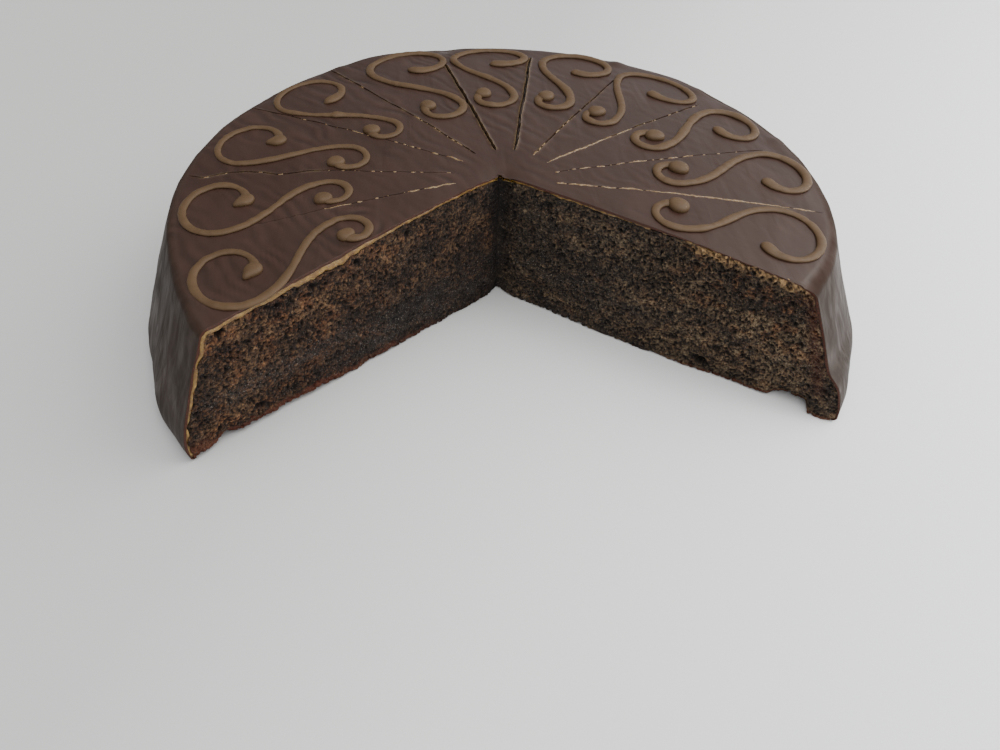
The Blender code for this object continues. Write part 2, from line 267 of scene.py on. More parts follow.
class Solid:
    """Collects grids of vertices into one mesh."""

    def __init__(self):
        self.points, self.quads, self.tris, self.attributes = [], [], [], {}
        self.count = 0

    def add(self, points, **attributes):
        points = np.asarray(points, float)
        shape = points.shape[:-1]
        flat = points.reshape(-1, 3)
        index = np.arange(self.count, self.count + len(flat)).reshape(shape)
        self.points.append(flat)
        for key in set(self.attributes) | set(attributes):
            have = self.attributes.setdefault(key, [np.zeros(self.count)])
            value = attributes.get(key, 0.0)
            have.append(np.broadcast_to(np.asarray(value, float), shape).ravel())
        self.count += len(flat)
        return index

    def grid(self, index, flip=False):
        q = grid_quads(index)
        self.quads.append(q[:, ::-1] if flip else q)

    def triangles(self, tris, flip=False):
        tris = np.asarray(tris, np.int64).reshape(-1, 3)
        self.tris.append(tris[:, ::-1] if flip else tris)

    def finish(self, name):
        quads = np.concatenate(self.quads) if self.quads else ()
        tris = np.concatenate(self.tris) if self.tris else ()
        obj = build_mesh(name, np.concatenate(self.points), quads, tris,
                         {k: np.concatenate(v) for k, v in self.attributes.items()})
        return obj


# ---------------------------------------------------------- shape of the cake
def crown(r):
    return CROWN * (1.0 - np.clip(np.asarray(r, float) / TOP_RADIUS, 0.0, 1.0) ** 2)


def turned(angle, centre, width):
    """Closeness of an angle to a direction given in degrees, 0 to 1."""
    away = np.degrees(np.asarray(angle, float)) - centre
    away = (away + 180.0) % 360.0 - 180.0
    return np.exp(-(away / width) ** 2)


def rim_lift(angle):
    """Small humps along the rim, mm."""
    a = np.asarray(angle, float)
    return 0.35 * noise(a * 7.0, 1.0, 0.0, 51) + 0.9 * turned(a, 57.0, 1.7) - 0.5 * turned(a, 96.0, 2.0) \
        + 0.5 * turned(a, 121.5, 2.0) + 0.5 * turned(a, 36.5, 1.6) + 0.5 * turned(a, 13.0, 1.6) \
        + 0.6 * turned(a, 112.0, 8.0) + 0.4 * turned(a, 48.0, 7.0)


def wavelets(x, y):
    """Ripples that the glaze set with, -1 to 1, strongest on the left."""
    u = 0.80 * x + 0.60 * y
    v = -0.60 * x + 0.80 * y
    bend = 3.2 * fbm(x / 15.0, y / 15.0, 0.0, 5, 2)
    phase = (u + bend) / 4.9 + 0.5 * noise(u / 7.0, v / 12.0, 0.0, 8)
    patchy = smooth(-0.35, 0.45, fbm(x / 13.0, y / 13.0, 0.0, 9, 2))
    strength = (0.12 + 0.50 * patchy) + (0.15 + 0.55 * patchy) * smooth(50.0, -40.0, x)
    return strength * np.sin(2 * np.pi * phase) * (0.55 + 0.45 * noise(v / 6.0, u / 2.6, 0.0, 10))


def ripple(x, y):
    """Ripples and broad unevenness of the glazed top, mm."""
    broad = 0.16 * fbm(x / 30.0, y / 30.0, 0.0, 12, 2) + 0.05 * noise(x / 7.0, y / 7.0, 0.0, 13)
    return 0.115 * wavelets(x, y) + broad + 0.018 * noise(x / 1.9, y / 1.9, 0.0, 14)


def surface_z(x, y):
    """Height of the glaze without its scores."""
    r = np.hypot(x, y)
    from_apex = np.hypot(x - APEX[0], y - APEX[1])
    dent = -0.9 * np.exp(-(from_apex / 5.0) ** 2) - 0.5 * np.exp(-(from_apex / 14.0) ** 2)
    return RIM_HEIGHT + crown(r) + ripple(x, y) * smooth(108.5, 104.0, r) + dent


# The side leans out on its way down and rounds into a fuller foot. It is
# fuller at the left cut, and steeper under the rim at the right cut.
RIM_LOW = 43.6            # where the rounded rim ends
FOOT_SOFT = 1.2           # how gently the lean turns into the foot
RIM_OUT, LEAN, FOOT_OUT = 110.9, 0.395, 126.0
LEFT_RIM_OUT, LEFT_LEAN, LEFT_FOOT_OUT, LEFT_TUCK = 113.8, 0.39, 127.0, 1.3
RIGHT_RIM_OUT, RIGHT_LEAN, RIGHT_FOOT_OUT, RIGHT_BELLY = 107.4, 0.44, 126.0, 2.6


def leaning(z, rim, lean, foot, belly=0.0):
    line = rim + lean * (RIM_LOW - z) + belly * smooth(19.0, 13.0, z)
    return foot - FOOT_SOFT * np.log1p(np.exp((foot - line) / FOOT_SOFT))


def side_radius(z, angle):
    """Radius of the glazed side at this height and direction."""
    z = np.clip(z, 0.0, 43.6)
    left = turned(angle, 215.9, 13.0)
    right = turned(angle, -35.9, 11.0)
    mean = leaning(z, RIM_OUT, LEAN, FOOT_OUT)
    fuller = leaning(z, LEFT_RIM_OUT, LEFT_LEAN, LEFT_FOOT_OUT) - LEFT_TUCK * np.exp(-(z / 4.0) ** 2)
    steeper = leaning(z, RIGHT_RIM_OUT, RIGHT_LEAN, RIGHT_FOOT_OUT, RIGHT_BELLY)
    out = mean + left * (fuller - mean) + right * (steeper - mean)
    a = np.asarray(angle, float)
    wave = 0.22 * noise(a * 5.3, z / 15.0, 0.0, 61) + 0.13 * noise(a * 16.0, z / 8.0, 0.0, 62) \
        + 0.07 * noise(a * 42.0, z / 17.0, 0.0, 63)
    drip = 0.38 * np.maximum(noise(a * 19.0, z / 26.0, 0.0, 64), 0.0) * smooth(2.0, 14.0, z) * smooth(42.0, 34.0, z)
    foot = 0.40 * noise(a * 8.5, 0.0, 0.0, 65) * smooth(14.0, 3.0, z)
    uneven = 0.25 * noise(a * 3.1, 0.0, 0.0, 41) + 0.18 * noise(a * 9.7, 3.0, 0.0, 42) - 0.9 * np.sin(a) \
        - 0.9 * turned(a, 85.0, 10.0) + 1.5 * turned(a, 113.0, 8.0) \
        + 0.9 * turned(a, 46.0, 7.0) - 0.8 * turned(a, 191.0, 8.0) \
        + 1.5 * turned(a, 204.5, 4.5) * smooth(26.0, 5.0, z) + 1.1 * turned(a, -20.0, 8.0) * smooth(32.0, 14.0, z)
    return out + wave + drip + foot + uneven


def direction(angle):
    return np.array([math.cos(angle), math.sin(angle)])


class Face:
    """One of the two cut faces."""

    def __init__(self, angle, sign, seed):
        self.angle, self.sign, self.seed = angle, sign, seed
        self.d = direction(angle)
        self.n = np.array([-self.d[1], self.d[0]]) * sign
        self.out = APEX @ self.d

    def reach(self, radius):
        """Distance from the apex along the cut to this radius about the axis."""
        return -self.out + np.sqrt(np.maximum(self.out ** 2 - APEX @ APEX + np.asarray(radius, float) ** 2, 0.0))

    def place(self, rho, z, lift):
        """Points at distance rho from the apex, height z, moved out of the cake
        by lift."""
        rho, z, lift = np.broadcast_arrays(np.asarray(rho, float), np.asarray(z, float), np.asarray(lift, float))
        return np.stack([APEX[0] + rho * self.d[0] + lift * self.n[0],
                         APEX[1] + rho * self.d[1] + lift * self.n[1], z], -1)

    def warp(self, rho, z):
        """The knife's path was not quite flat."""
        w = 0.45 * fbm(rho / 24.0, z / 16.0, 0.0, self.seed + 3, 2)
        w = w * smooth(0.0, 12.0, rho)
        if self.sign < 0:
            w = w + 1.45 * smooth(46.0, 0.0, z) * smooth(10.0, 60.0, rho) + 1.7 * bump(rho, 122.5, 5.5) * bump(z, 0.0, 7.0)
            w = w - 2.2 * np.exp(-(rho / 4.0) ** 2) - 0.5 * np.exp(-(rho / 11.0) ** 2)
            w = w - 4.3 * smooth(104.5, 109.5, rho) * smooth(119.6, 117.2, rho) * np.exp(-(z / 4.6) ** 2)
        else:
            w = w - 2.9 * bump(rho, 112.8, 3.4) * np.exp(-(z / 4.2) ** 2)
            w = w - 0.9 * np.exp(-(rho / 2.5) ** 2)
        return w


LEFT = Face(CUT_LEFT, 1, 100)
RIGHT = Face(CUT_RIGHT, -1, 200)
CREVICE = np.array([0.4, 2.4])


# ------------------------------------------------- section of the glazed skin
TOP_ROWS = 84
HUB_SHARES = np.array([0.05, 0.11, 0.18, 0.26, 0.34, 0.42, 0.50, 0.58, 0.66, 0.74, 0.82, 0.91])
SHOULDER_ROWS = 8
SIDE_ROWS = 34
ROWS = 1 + len(HUB_SHARES) + TOP_ROWS + 1 + SHOULDER_ROWS + SIDE_ROWS + 3


def rim_radius(angle):
    return side_radius(43.6, angle) - 3.8 - 0.5 * turned(angle, -35.9, 12.0) - 1.3 * turned(angle, -35.9, 6.0)


SECTION_ROWS = TOP_ROWS + 1 + SHOULDER_ROWS + SIDE_ROWS + 3


def section(angles):
    """Radii and heights of the glaze from the hub circle out over the rim and
    down the side, given the direction of each row and column. Also the inward
    normal and how far each row belongs to the side."""
    rim = rim_radius(angles)
    foot = side_radius(43.6, angles)
    lift = rim_lift(angles)
    r, z, mix = np.zeros_like(angles), np.zeros_like(angles), np.zeros_like(angles)
    for k in range(TOP_ROWS + 1):
        r[k] = HUB + (rim[k] - HUB) * k / TOP_ROWS
        z[k] = RIM_HEIGHT + crown(r[k]) + lift[k] * smooth(101.0, 107.0, r[k])
    row = TOP_ROWS
    for k in range(1, SHOULDER_ROWS + 1):
        row += 1
        t = k / SHOULDER_ROWS
        w = ((1 - t) ** 3, 3 * t * (1 - t) ** 2, 3 * t * t * (1 - t), t ** 3)
        reach = foot[row] - rim[row]
        r[row] = rim[row] + reach * (0.52 * w[1] + 0.86 * w[2] + w[3])
        z[row] = w[0] * (46.0 + lift[row]) + w[1] * (45.85 + lift[row]) + w[2] * (45.0 + 0.5 * lift[row]) + w[3] * 43.6
        mix[row] = t
    for k in range(1, SIDE_ROWS + 1):
        row += 1
        z[row] = 43.6 + (1.6 - 43.6) * k / SIDE_ROWS
        r[row] = side_radius(z[row], angles[row])
        mix[row] = 1.0
    for inset, height in ((0.25, 1.0), (0.7, 0.6), (1.2, 0.7)):
        row += 1
        r[row] = side_radius(1.6, angles[row]) - inset
        z[row] = height
        mix[row] = 1.0
    dr, dz = np.gradient(r, axis=0), np.gradient(z, axis=0)
    length = np.hypot(dr, dz)
    inward = np.stack([dz / length, -dr / length], -1)
    inward[-4:] = (-1.0, 0.0)
    return r, z, inward, mix


def shared(rho):
    return np.exp(-(np.asarray(rho, float) / 2.2) ** 2)


# thickness of the glaze and of the jam where the cut shows them, by distance
# from the apex along the top, then by height down the side
def glaze_edge(face, rho, z, on_side):
    if face is LEFT:
        top = through(rho, (0, 0.8), (20, 0.8), (45, 1.0), (60, 1.2), (100, 1.1), (113, 1.1))
        side = through(z, (0, 0.7), (6, 0.9), (15, 1.0), (30, 0.95), (44, 0.95))
    else:
        top = through(rho, (0, 0.9), (30, 1.0), (58, 1.0), (68, 0.55), (106, 0.45), (113, 0.9))
        side = through(z, (0, 0.8), (12, 0.9), (30, 1.0), (44, 1.2))
    t = top * (1 - on_side) + side * on_side
    t = t * (1 + 0.22 * noise(rho / 3.1, z / 3.3, 0.0, face.seed + 31)
             + 0.10 * noise(rho / 0.9, z / 0.9, 0.0, face.seed + 32))
    return t * (1 - shared(rho)) + 0.8 * shared(rho)


def jam_edge(face, rho, z, on_side):
    if face is LEFT:
        top = through(rho, (0, 0.50), (16, 0.52), (30, 0.68), (44, 0.70), (54, 1.15), (64, 1.85), (78, 1.75), (96, 1.35), (113, 0.90))
        side = through(z, (0, 0.20), (5, 0.35), (10, 0.60), (14, 0.45), (22, 0.75), (34, 0.80), (44, 0.85))
    else:
        top = through(rho, (0, 0.45), (20, 0.38), (50, 0.26), (78, 0.26), (98, 0.24), (108, 0.10), (113, 0.05))
        side = through(z, (0, 0.04), (44, 0.04))
    t = top * (1 - on_side) + side * on_side
    wobble = 0.30 * noise(rho / 2.6, z / 2.9, 0.0, face.seed + 33) + 0.16 * noise(rho / 0.95, z / 0.9, 0.0, face.seed + 34)
    t = np.maximum(t * (1 + 1.6 * wobble), 0.08)
    return t * (1 - shared(rho)) + 0.6 * shared(rho)


class CutEdge:
    """The glaze's outer curve, its inner curve and the jam's inner curve where
    one of the cuts goes through them, as distance from the apex and height."""

    def __init__(self, face):
        self.face = face
        radius = np.full((SECTION_ROWS, 1), 110.0)
        for _ in range(4):
            radius, z, inward, mix = section(cut_angle(face, radius))
        rho = face.reach(radius[:, 0])
        z, inward, mix = z[:, 0], inward[:, 0], mix[:, 0]
        inner = rho[0] * np.concatenate([[0.0], HUB_SHARES])
        xy = face.place(inner, 0.0, 0.0)
        rho = np.concatenate([inner, rho])
        z = np.concatenate([RIM_HEIGHT + crown(np.hypot(xy[:, 0], xy[:, 1])), z])
        mix = np.concatenate([np.zeros(len(inner)), mix])
        inward = np.concatenate([np.tile([0.0, -1.0], (len(inner), 1)), inward])
        xy = face.place(rho, z, 0.0)
        waves = surface_z(xy[:, 0], xy[:, 1]) - RIM_HEIGHT - crown(np.hypot(xy[:, 0], xy[:, 1]))
        self.mix = mix
        glaze = glaze_edge(face, rho, z, mix)
        jam = jam_edge(face, rho, z, mix) * (0.3 + 0.7 * smooth(0.0, 2.5, z))
        self.c0 = np.stack([rho, z + waves * (1 - smooth(0.0, 0.3, mix))], -1)
        self.c1 = self.c0 + inward * glaze[:, None]
        self.c2 = self.c1 + inward * jam[:, None]
        for curve in (self.c1, self.c2):
            curve[:, 0] = np.maximum(curve[:, 0], 0.0)
            curve[0, 0] = 0.0
            curve[:, 1] = np.maximum(curve[:, 1], 0.4)


def cut_angle(face, radius):
    xy = face.place(face.reach(radius), 0.0, 0.0)
    angle = np.arctan2(xy[..., 1], xy[..., 0])
    return angle % (2 * math.pi) if face.sign > 0 else angle


EDGE = {LEFT: CutEdge(LEFT), RIGHT: CutEdge(RIGHT)}


# ---------------------------------------------------------------- the scores
def polar(degrees, radius):
    return np.array([radius * math.cos(math.radians(degrees)), radius * math.sin(math.radians(degrees))])


def score_angle(number, radius):
    """Direction of the score at this radius about the axis."""
    first, last, reach = SCORES[number]
    start, end = polar(first, HUB), polar(last, reach)
    along = (end - start) / np.hypot(*(end - start))
    radius = np.clip(radius, HUB, TOP_RADIUS)
    t = -(start @ along) + np.sqrt((start @ along) ** 2 - start @ start + radius ** 2)
    x, y = start[0] + t * along[0], start[1] + t * along[1]
    angle = np.arctan2(y, x)
    return np.where(angle < CUT_RIGHT, angle + 2 * math.pi, angle)


def score_wander(number, radius):
    """Sideways wander of a score, mm, to the left when looking outwards."""
    radius = np.asarray(radius, float)
    w = 0.22 * noise(radius / 7.0, number * 3.7, 0.0, 301) + 0.10 * noise(radius / 2.1, number * 5.1, 0.0, 302)
    if number == 1:
        w = w - 0.6 * bump(radius, 57.0, 7.0) + 1.4 * bump(radius, 75.0, 5.0) - 0.5 * bump(radius, 89.5, 4.0) \
            + 2.1 * bump(radius, 101.5, 4.0)
    return w * smooth(HUB - 1.0, HUB + 6.0, radius)


# opening half-width, depth and lip by radius for each score
def score_shape(number, radius):
    r = np.asarray(radius, float)
    first, last, reach = SCORES[number]
    table = {
        0: ((17, 0.20, 0.6, 0.05), (57, 0.18, 0.5, 0.04), (72, 0.12, 0.35, 0.03), (92, 0.08, 0.2, 0.02)),
        1: ((17, 0.13, 0.4, 0.04), (58, 0.14, 0.5, 0.04), (64, 0.32, 1.0, 0.08), (107, 0.30, 0.9, 0.09)),
        2: ((17, 0.18, 0.5, 0.05), (60, 0.18, 0.5, 0.04), (67, 0.20, 0.8, 0.03), (82, 0.22, 0.9, 0.03), (86, 0.28, 1.0, 0.06), (107, 0.24, 0.9, 0.06)),
        3: ((17, 0.26, 0.9, 0.10), (70, 0.26, 0.9, 0.10), (74, 0.20, 0.8, 0.05), (80, 0.28, 1.0, 0.08), (107, 0.30, 1.0, 0.10)),
        4: ((17, 0.52, 1.5, 0.26), (60, 0.56, 1.5, 0.26), (88, 0.44, 1.3, 0.22)),
        5: ((16, 0.46, 1.4, 0.24), (50, 0.56, 1.5, 0.26), (96, 0.52, 1.3, 0.24)),
        6: ((17, 0.26, 0.9, 0.09), (50, 0.30, 1.0, 0.10), (97, 0.28, 0.9, 0.08)),
        7: ((17, 0.22, 0.7, 0.07), (50, 0.24, 0.9, 0.08), (97, 0.26, 0.9, 0.07)),
        8: ((17, 0.15, 0.5, 0.04), (98, 0.15, 0.5, 0.03)),
        9: ((17, 0.20, 0.7, 0.06), (104, 0.18, 0.6, 0.05)),
    }[number]
    xs = [row[0] for row in table]
    half, depth, lip = [np.interp(r, xs, [row[k] for row in table]) for k in (1, 2, 3)]
    ends = smooth(HUB + 0.1, HUB + 1.3, r) * smooth(reach + 1.2, reach - 1.0, r)
    half = half * (1 + 0.30 * noise(r / 1.7, number * 2.3, 0.0, 311)) * (0.25 + 0.75 * ends)
    depth = depth * (1 + 0.25 * noise(r / 2.6, number * 4.1, 0.0, 312)) * ends
    lip = lip * (1 + 0.7 * noise(r / 3.3, number * 6.7, 0.0, 313)) * ends
    return half, depth, lip


# -------------------------------------------------------------- glazed skin
KNOTS = [9, 8, 7, 6, 5, 4, 3, 2, 1, 0]     # scores from the right cut round
BETWEEN = 34
CLUSTER = 1.5


def knot_angle(knot, radius):
    if knot == "right":
        return cut_angle(RIGHT, radius)
    if knot == "left":
        return cut_angle(LEFT, radius)
    return score_angle(knot, radius)


def glaze_columns():
    """(knot, role, next knot, share) of each column of the glaze's mesh."""
    columns = []
    chain = ["right"] + KNOTS + ["left"]
    for i in range(len(chain) - 1):
        here, there = chain[i], chain[i + 1]
        if here != "right":
            for role in ("out-", "lip-", "top-", "low-", "mid", "low+", "top+", "lip+"):
                columns.append((here, role, None, 0.0))
        steps = BETWEEN if here != "right" and there != "left" else 30
        for k in range(steps):
            columns.append((here, "out+", there, k / steps))
    columns.append(("left", "cut", None, 0.0))
    return columns


def column_angles(columns, radius):
    """Direction of each column at each row, and the score's depth and lip."""
    angles = np.zeros_like(radius)
    sink = np.zeros_like(radius)
    lips = np.zeros_like(radius)
    for c, (here, role, there, share) in enumerate(columns):
        r = radius[:, c]
        base = knot_angle(here, r)
        if here in ("right", "left"):
            first = base
            if there is not None:
                second = knot_angle(there, r)
                if there not in ("right", "left"):
                    second = second + (score_wander(there, r) - CLUSTER) / r
                first = first * (1 - share) + second * share
            angles[:, c] = first
            continue
        wander = score_wander(here, r)
        if role == "out+":
            first = base + (wander + CLUSTER) / r
            second = knot_angle(there, r)
            if there not in ("right", "left"):
                second = second + (score_wander(there, r) - CLUSTER) / r
            angles[:, c] = first * (1 - share) + second * share
            continue
        half, depth, lip = score_shape(here, r)
        on_top = r <= SCORES[here][2] + 2.0
        side = -1.0 if role.endswith("-") else 1.0
        name = role.rstrip("+-")
        offset = {"out": np.full_like(r, CLUSTER), "lip": 0.30 + half, "top": half + 0.05,
                  "low": 0.45 * half, "mid": 0.0 * r}[name]
        angles[:, c] = base + (wander + side * offset) / r
        if name in ("low", "mid"):
            sink[:, c] = -depth * (1.0 if name == "mid" else 0.86) * on_top
        if name == "top":
            sink[:, c] = lip * on_top
        if name == "lip":
            sink[:, c] = 0.35 * lip * on_top
        lips[:, c] = {"out": 0.0, "lip": 0.22, "top": 1.0, "low": 0.35, "mid": 0.0}[name] * on_top * smooth(0.03, 0.20, lip) \
            * smooth(-0.5, 0.3, noise(r / 1.3, here * 7.3 + side, 0.0, 315) + 0.45)
    return angles, sink, lips


def section_for(columns):
    radius = np.full((SECTION_ROWS, len(columns)), 60.0)
    radius[:TOP_ROWS + 1] = np.linspace(HUB, TOP_RADIUS, TOP_ROWS + 1)[:, None]
    radius[TOP_ROWS + 1:] = 115.0
    for _ in range(2):
        angles, sink, lips = column_angles(columns, radius)
        radius, z, inward, mix = section(angles)
    return angles, radius, z, inward, mix, sink, lips


COARSE = 12      # one hidden column of the skins for so many outer columns


def make_glaze():
    columns = glaze_columns()
    angles, radius, z, inward, mix, sink, lips = section_for(columns)
    x, y = radius * np.cos(angles), radius * np.sin(angles)
    waves = surface_z(x, y) - RIM_HEIGHT - crown(np.hypot(x, y))
    z_out = z + waves * (1 - smooth(0.0, 0.3, mix)) + sink
    solid = Solid()
    # rows between the apex and the hub circle
    hub_x, hub_y = x[0], y[0]
    inner_x = APEX[0] + (hub_x - APEX[0]) * HUB_SHARES[:, None]
    inner_y = APEX[1] + (hub_y - APEX[1]) * HUB_SHARES[:, None]
    full_x, full_y = np.concatenate([inner_x, x]), np.concatenate([inner_y, y])
    full_z = np.concatenate([surface_z(inner_x, inner_y), z_out])
    lip = np.concatenate([np.zeros_like(inner_x), lips])
    # the ripple pattern, which the glaze's material also paints into its colour as painted shade and painted highlight
    # on the top
    wave = wavelets(full_x, full_y) * (1 - np.concatenate([np.zeros_like(inner_x), mix]))
    side = np.concatenate([np.zeros_like(inner_x), mix])
    # the cut columns follow the cut, warped as the crumb below it
    points = np.stack([full_x, full_y, full_z], -1)
    for face, c in ((RIGHT, 0), (LEFT, -1)):
        edge = EDGE[face].c0[1:]
        lift = face.warp(edge[:, 0], edge[:, 1])
        points[:, c] = face.place(edge[:, 0], edge[:, 1], lift)
        near = (1, 2, 3) if c == 0 else (-2, -3, -4)
        for step, k in enumerate(near):
            points[:, k, :2] += face.n * lift[:, None] * (0.75 - 0.25 * step)
    # how deep the score sinks, which the material paints as painted shade in the groove
    core = np.concatenate([np.zeros_like(inner_x), smooth(0.30, 1.15, -sink)])
    skin = solid.add(points, lip=lip, side=side, wave=wave, core=core)
    solid.grid(skin)
    apex_top = apex_point(EDGE[LEFT].c0[0, 1] + surface_z(*(APEX + CREVICE)) - RIM_HEIGHT - crown(3.0))
    top = solid.add(apex_top[None], lip=0.0, side=0.0)[0]
    solid.triangles([(top, skin[0, c], skin[0, c + 1]) for c in range(len(columns) - 1)], flip=True)
    # hidden inner surface on fewer columns
    picks = sorted(set(list(range(0, len(columns), COARSE)) + [len(columns) - 1]))
    thick = 1.25
    in_r = radius[:, picks] + inward[:, picks, 0] * thick
    in_z = z[:, picks] + inward[:, picks, 1] * thick
    inside = np.stack([in_r * np.cos(angles[:, picks]), in_r * np.sin(angles[:, picks]), in_z], -1)
    hub = inside[0]
    inner = np.stack([APEX[0] + (hub[:, 0] - APEX[0]) * HUB_SHARES[:, None],
                      APEX[1] + (hub[:, 1] - APEX[1]) * HUB_SHARES[:, None],
                      np.zeros((len(HUB_SHARES), len(picks)))], -1)
    inner[..., 2] = RIM_HEIGHT + crown(np.hypot(inner[..., 0], inner[..., 1])) - thick
    inside = np.concatenate([inner, inside])
    for face, c in ((RIGHT, 0), (LEFT, -1)):
        edge = EDGE[face].c1[1:]
        inside[:, c] = face.place(edge[:, 0], edge[:, 1], face.warp(edge[:, 0], edge[:, 1]) - 0.12)
    under = solid.add(inside)
    solid.grid(under, flip=True)
    apex_low = apex_point(EDGE[LEFT].c1[0, 1])
    low = solid.add(apex_low[None])[0]
    solid.triangles([(low, under[0, c], under[0, c + 1]) for c in range(len(picks) - 1)])
    solid.triangles(stitch(skin[-1], under[-1]), flip=False)
    # glaze's edge on the two cuts
    for face, c, flip in ((RIGHT, 0, False), (LEFT, -1, True)):
        c0, c1 = EDGE[face].c0[1:], EDGE[face].c1[1:]
        rows = [skin[:, c]]
        for share, out in ((0.25, 0.10), (0.6, 0.14), (0.88, 0.06)):
            at = c0 + (c1 - c0) * share
            rough = 0.10 * noise(at[:, 0] / 0.8, at[:, 1] / 0.8, 0.0, face.seed + 41)
            rows.append(solid.add(face.place(at[:, 0], at[:, 1], face.warp(at[:, 0], at[:, 1]) + out + rough),
                                  side=EDGE[face].mix[1:], lip=0.0, edge=1.0))
        rows.append(under[:, c])
        index = np.array(rows)
        solid.grid(index, flip=flip)
        solid.triangles([(top, rows[0][0], rows[1][0]), (top, rows[1][0], rows[2][0]), (top, rows[2][0], rows[3][0]),
                         (top, rows[3][0], low), (low, rows[3][0], rows[4][0])], flip=not flip)
    obj = solid.finish("glaze_skin")
    return obj


def apex_point(z):
    return np.array([APEX[0] + CREVICE[0], APEX[1] + CREVICE[1], z])


# ----------------------------------------------------------- the apricot coat
def make_jam():
    """The jam's coat under the glaze. It shows where the cuts go through it, as
    a wet bead that stands a little proud and dives under at both edges."""
    angle_rows = np.linspace(0.0, 1.0, 49)
    solid = Solid()
    out_l, out_r = EDGE[LEFT], EDGE[RIGHT]
    rings_out, rings_in = [], []
    radius = np.full((SECTION_ROWS, len(angle_rows)), 110.0)
    for _ in range(2):
        right, left = cut_angle(RIGHT, radius), cut_angle(LEFT, radius)
        angles = right + (left - right) * angle_rows[None]
        radius, z, inward, mix = section(angles)
    for depth, bag in ((1.35, rings_out), (2.3, rings_in)):
        r = radius + inward[..., 0] * depth
        h = np.maximum(z + inward[..., 1] * depth, 0.8)
        ring = np.stack([r * np.cos(angles), r * np.sin(angles), h], -1)
        hub = ring[0]
        inner = np.stack([APEX[0] + (hub[:, 0] - APEX[0]) * HUB_SHARES[:, None],
                          APEX[1] + (hub[:, 1] - APEX[1]) * HUB_SHARES[:, None],
                          np.zeros((len(HUB_SHARES), hub.shape[0]))], -1)
        inner[..., 2] = RIM_HEIGHT + crown(np.hypot(inner[..., 0], inner[..., 1])) - depth
        bag.append(np.concatenate([inner, ring]))
    outer, inner = rings_out[0], rings_in[0]
    beads = {}
    for face, c in ((RIGHT, 0), (LEFT, -1)):
        edge = EDGE[face]
        c0, c1, c2 = edge.c0[1:], edge.c1[1:], edge.c2[1:]
        wide = np.hypot(*(c2 - c1).T)
        unit = (c2 - c1) / np.maximum(wide, 1e-6)[:, None]
        tuck = 0.35 if face is LEFT else 0.2
        first = c1 - unit * 0.35
        last = c2 + unit * tuck
        last[:, 0] = np.maximum(last[:, 0], 0.0)
        last[:, 1] = np.maximum(last[:, 1], 0.3)
        warp = face.warp(c1[:, 0], c1[:, 1])
        proud = (0.34 if face is LEFT else 0.10) * np.clip(wide / 1.6, 0.25, 1.15)
        sunk = 0.9 * smooth(0.34, 0.18, wide)
        rows = []
        for share, lift in ((0.0, -0.75), (0.12, -0.22), (0.27, 0.55), (0.45, 0.95), (0.63, 1.0), (0.8, 0.6), (0.92, -0.1), (1.0, -1.0)):
            at = first + (last - first) * share
            lumps = 0.22 * noise(at[:, 0] / 1.3, at[:, 1] / 1.1, 0.0, face.seed + 51) \
                + 0.12 * noise(at[:, 0] / 0.5, at[:, 1] / 0.5, 0.0, face.seed + 52)
            shift = warp - sunk + (proud * lift if lift > 0 else lift * 0.9) + lumps * (lift > -0.5)
            rows.append(face.place(at[:, 0], at[:, 1], shift))
        beads[c] = rows
        outer[:, c] = rows[0]
        inner[:, c] = rows[-1]
    top = solid.add(outer)
    low = solid.add(inner)
    solid.grid(top)
    solid.grid(low, flip=True)
    apex_top = solid.add(apex_point(EDGE[LEFT].c1[0, 1] + 0.1)[None])[0]
    apex_low = solid.add(apex_point(EDGE[LEFT].c2[0, 1] - 0.2)[None])[0]
    n = len(angle_rows)
    solid.triangles([(apex_top, top[0, c], top[0, c + 1]) for c in range(n - 1)], flip=True)
    solid.triangles([(apex_low, low[0, c], low[0, c + 1]) for c in range(n - 1)])
    solid.grid(np.array([top[-1], low[-1]]).T, flip=True)
    for c, flip in ((0, False), (-1, True)):
        rows = [top[:, c]] + [solid.add(row) for row in beads[c][1:-1]] + [low[:, c]]
        solid.grid(np.array(rows), flip=flip)
        fan = [r[0] for r in rows]
        solid.triangles([(apex_top, fan[i], fan[i + 1]) for i in range(len(fan) - 1)]
                        + [(apex_top, fan[-1], apex_low)], flip=not flip)
    return solid.finish("apricot_coat")


# ------------------------------------------------------------- the sponge
def left_pits(rho, z):
    """Named holes and torn places of the left face: depth in mm."""
    d = 0.0
    for at, height, wide, tall, deep in (
            (108.3, 42.4, 1.0, 1.3, 4.0), (102.0, 43.6, 0.7, 0.8, 2.0), (89.0, 41.3, 1.5, 1.0, 1.3),
            (76.0, 42.0, 1.4, 1.0, 1.2), (101.0, 7.6, 2.0, 1.3, 1.6), (88.0, 6.6, 1.4, 1.2, 1.3),
            (121.0, 17.6, 0.8, 0.7, 2.0), (40.0, 44.4, 1.1, 1.6, 1.4), (33.0, 46.0, 1.3, 0.8, 1.2),
            (23.0, 45.6, 1.2, 0.9, 1.1), (12.0, 46.0, 1.3, 1.0, 1.2), (60.0, 43.4, 1.1, 1.2, 1.2),
            (66.0, 30.2, 1.2, 1.0, 1.2), (95.2, 36.0, 0.9, 1.3, 1.0), (47.0, 12.6, 1.6, 1.2, 1.3),
            (84.0, 24.4, 1.2, 0.9, 1.1), (112.0, 8.6, 1.2, 1.0, 1.2), (55.0, 34.6, 1.3, 1.1, 1.1),
            (18.0, 33.0, 1.4, 1.3, 1.1), (71.0, 11.2, 1.2, 1.2, 1.1)):
        e = ((rho - at) / wide) ** 2 + ((z - height) / tall) ** 2
        d = d + deep * np.exp(-e ** 1.5)
    return d


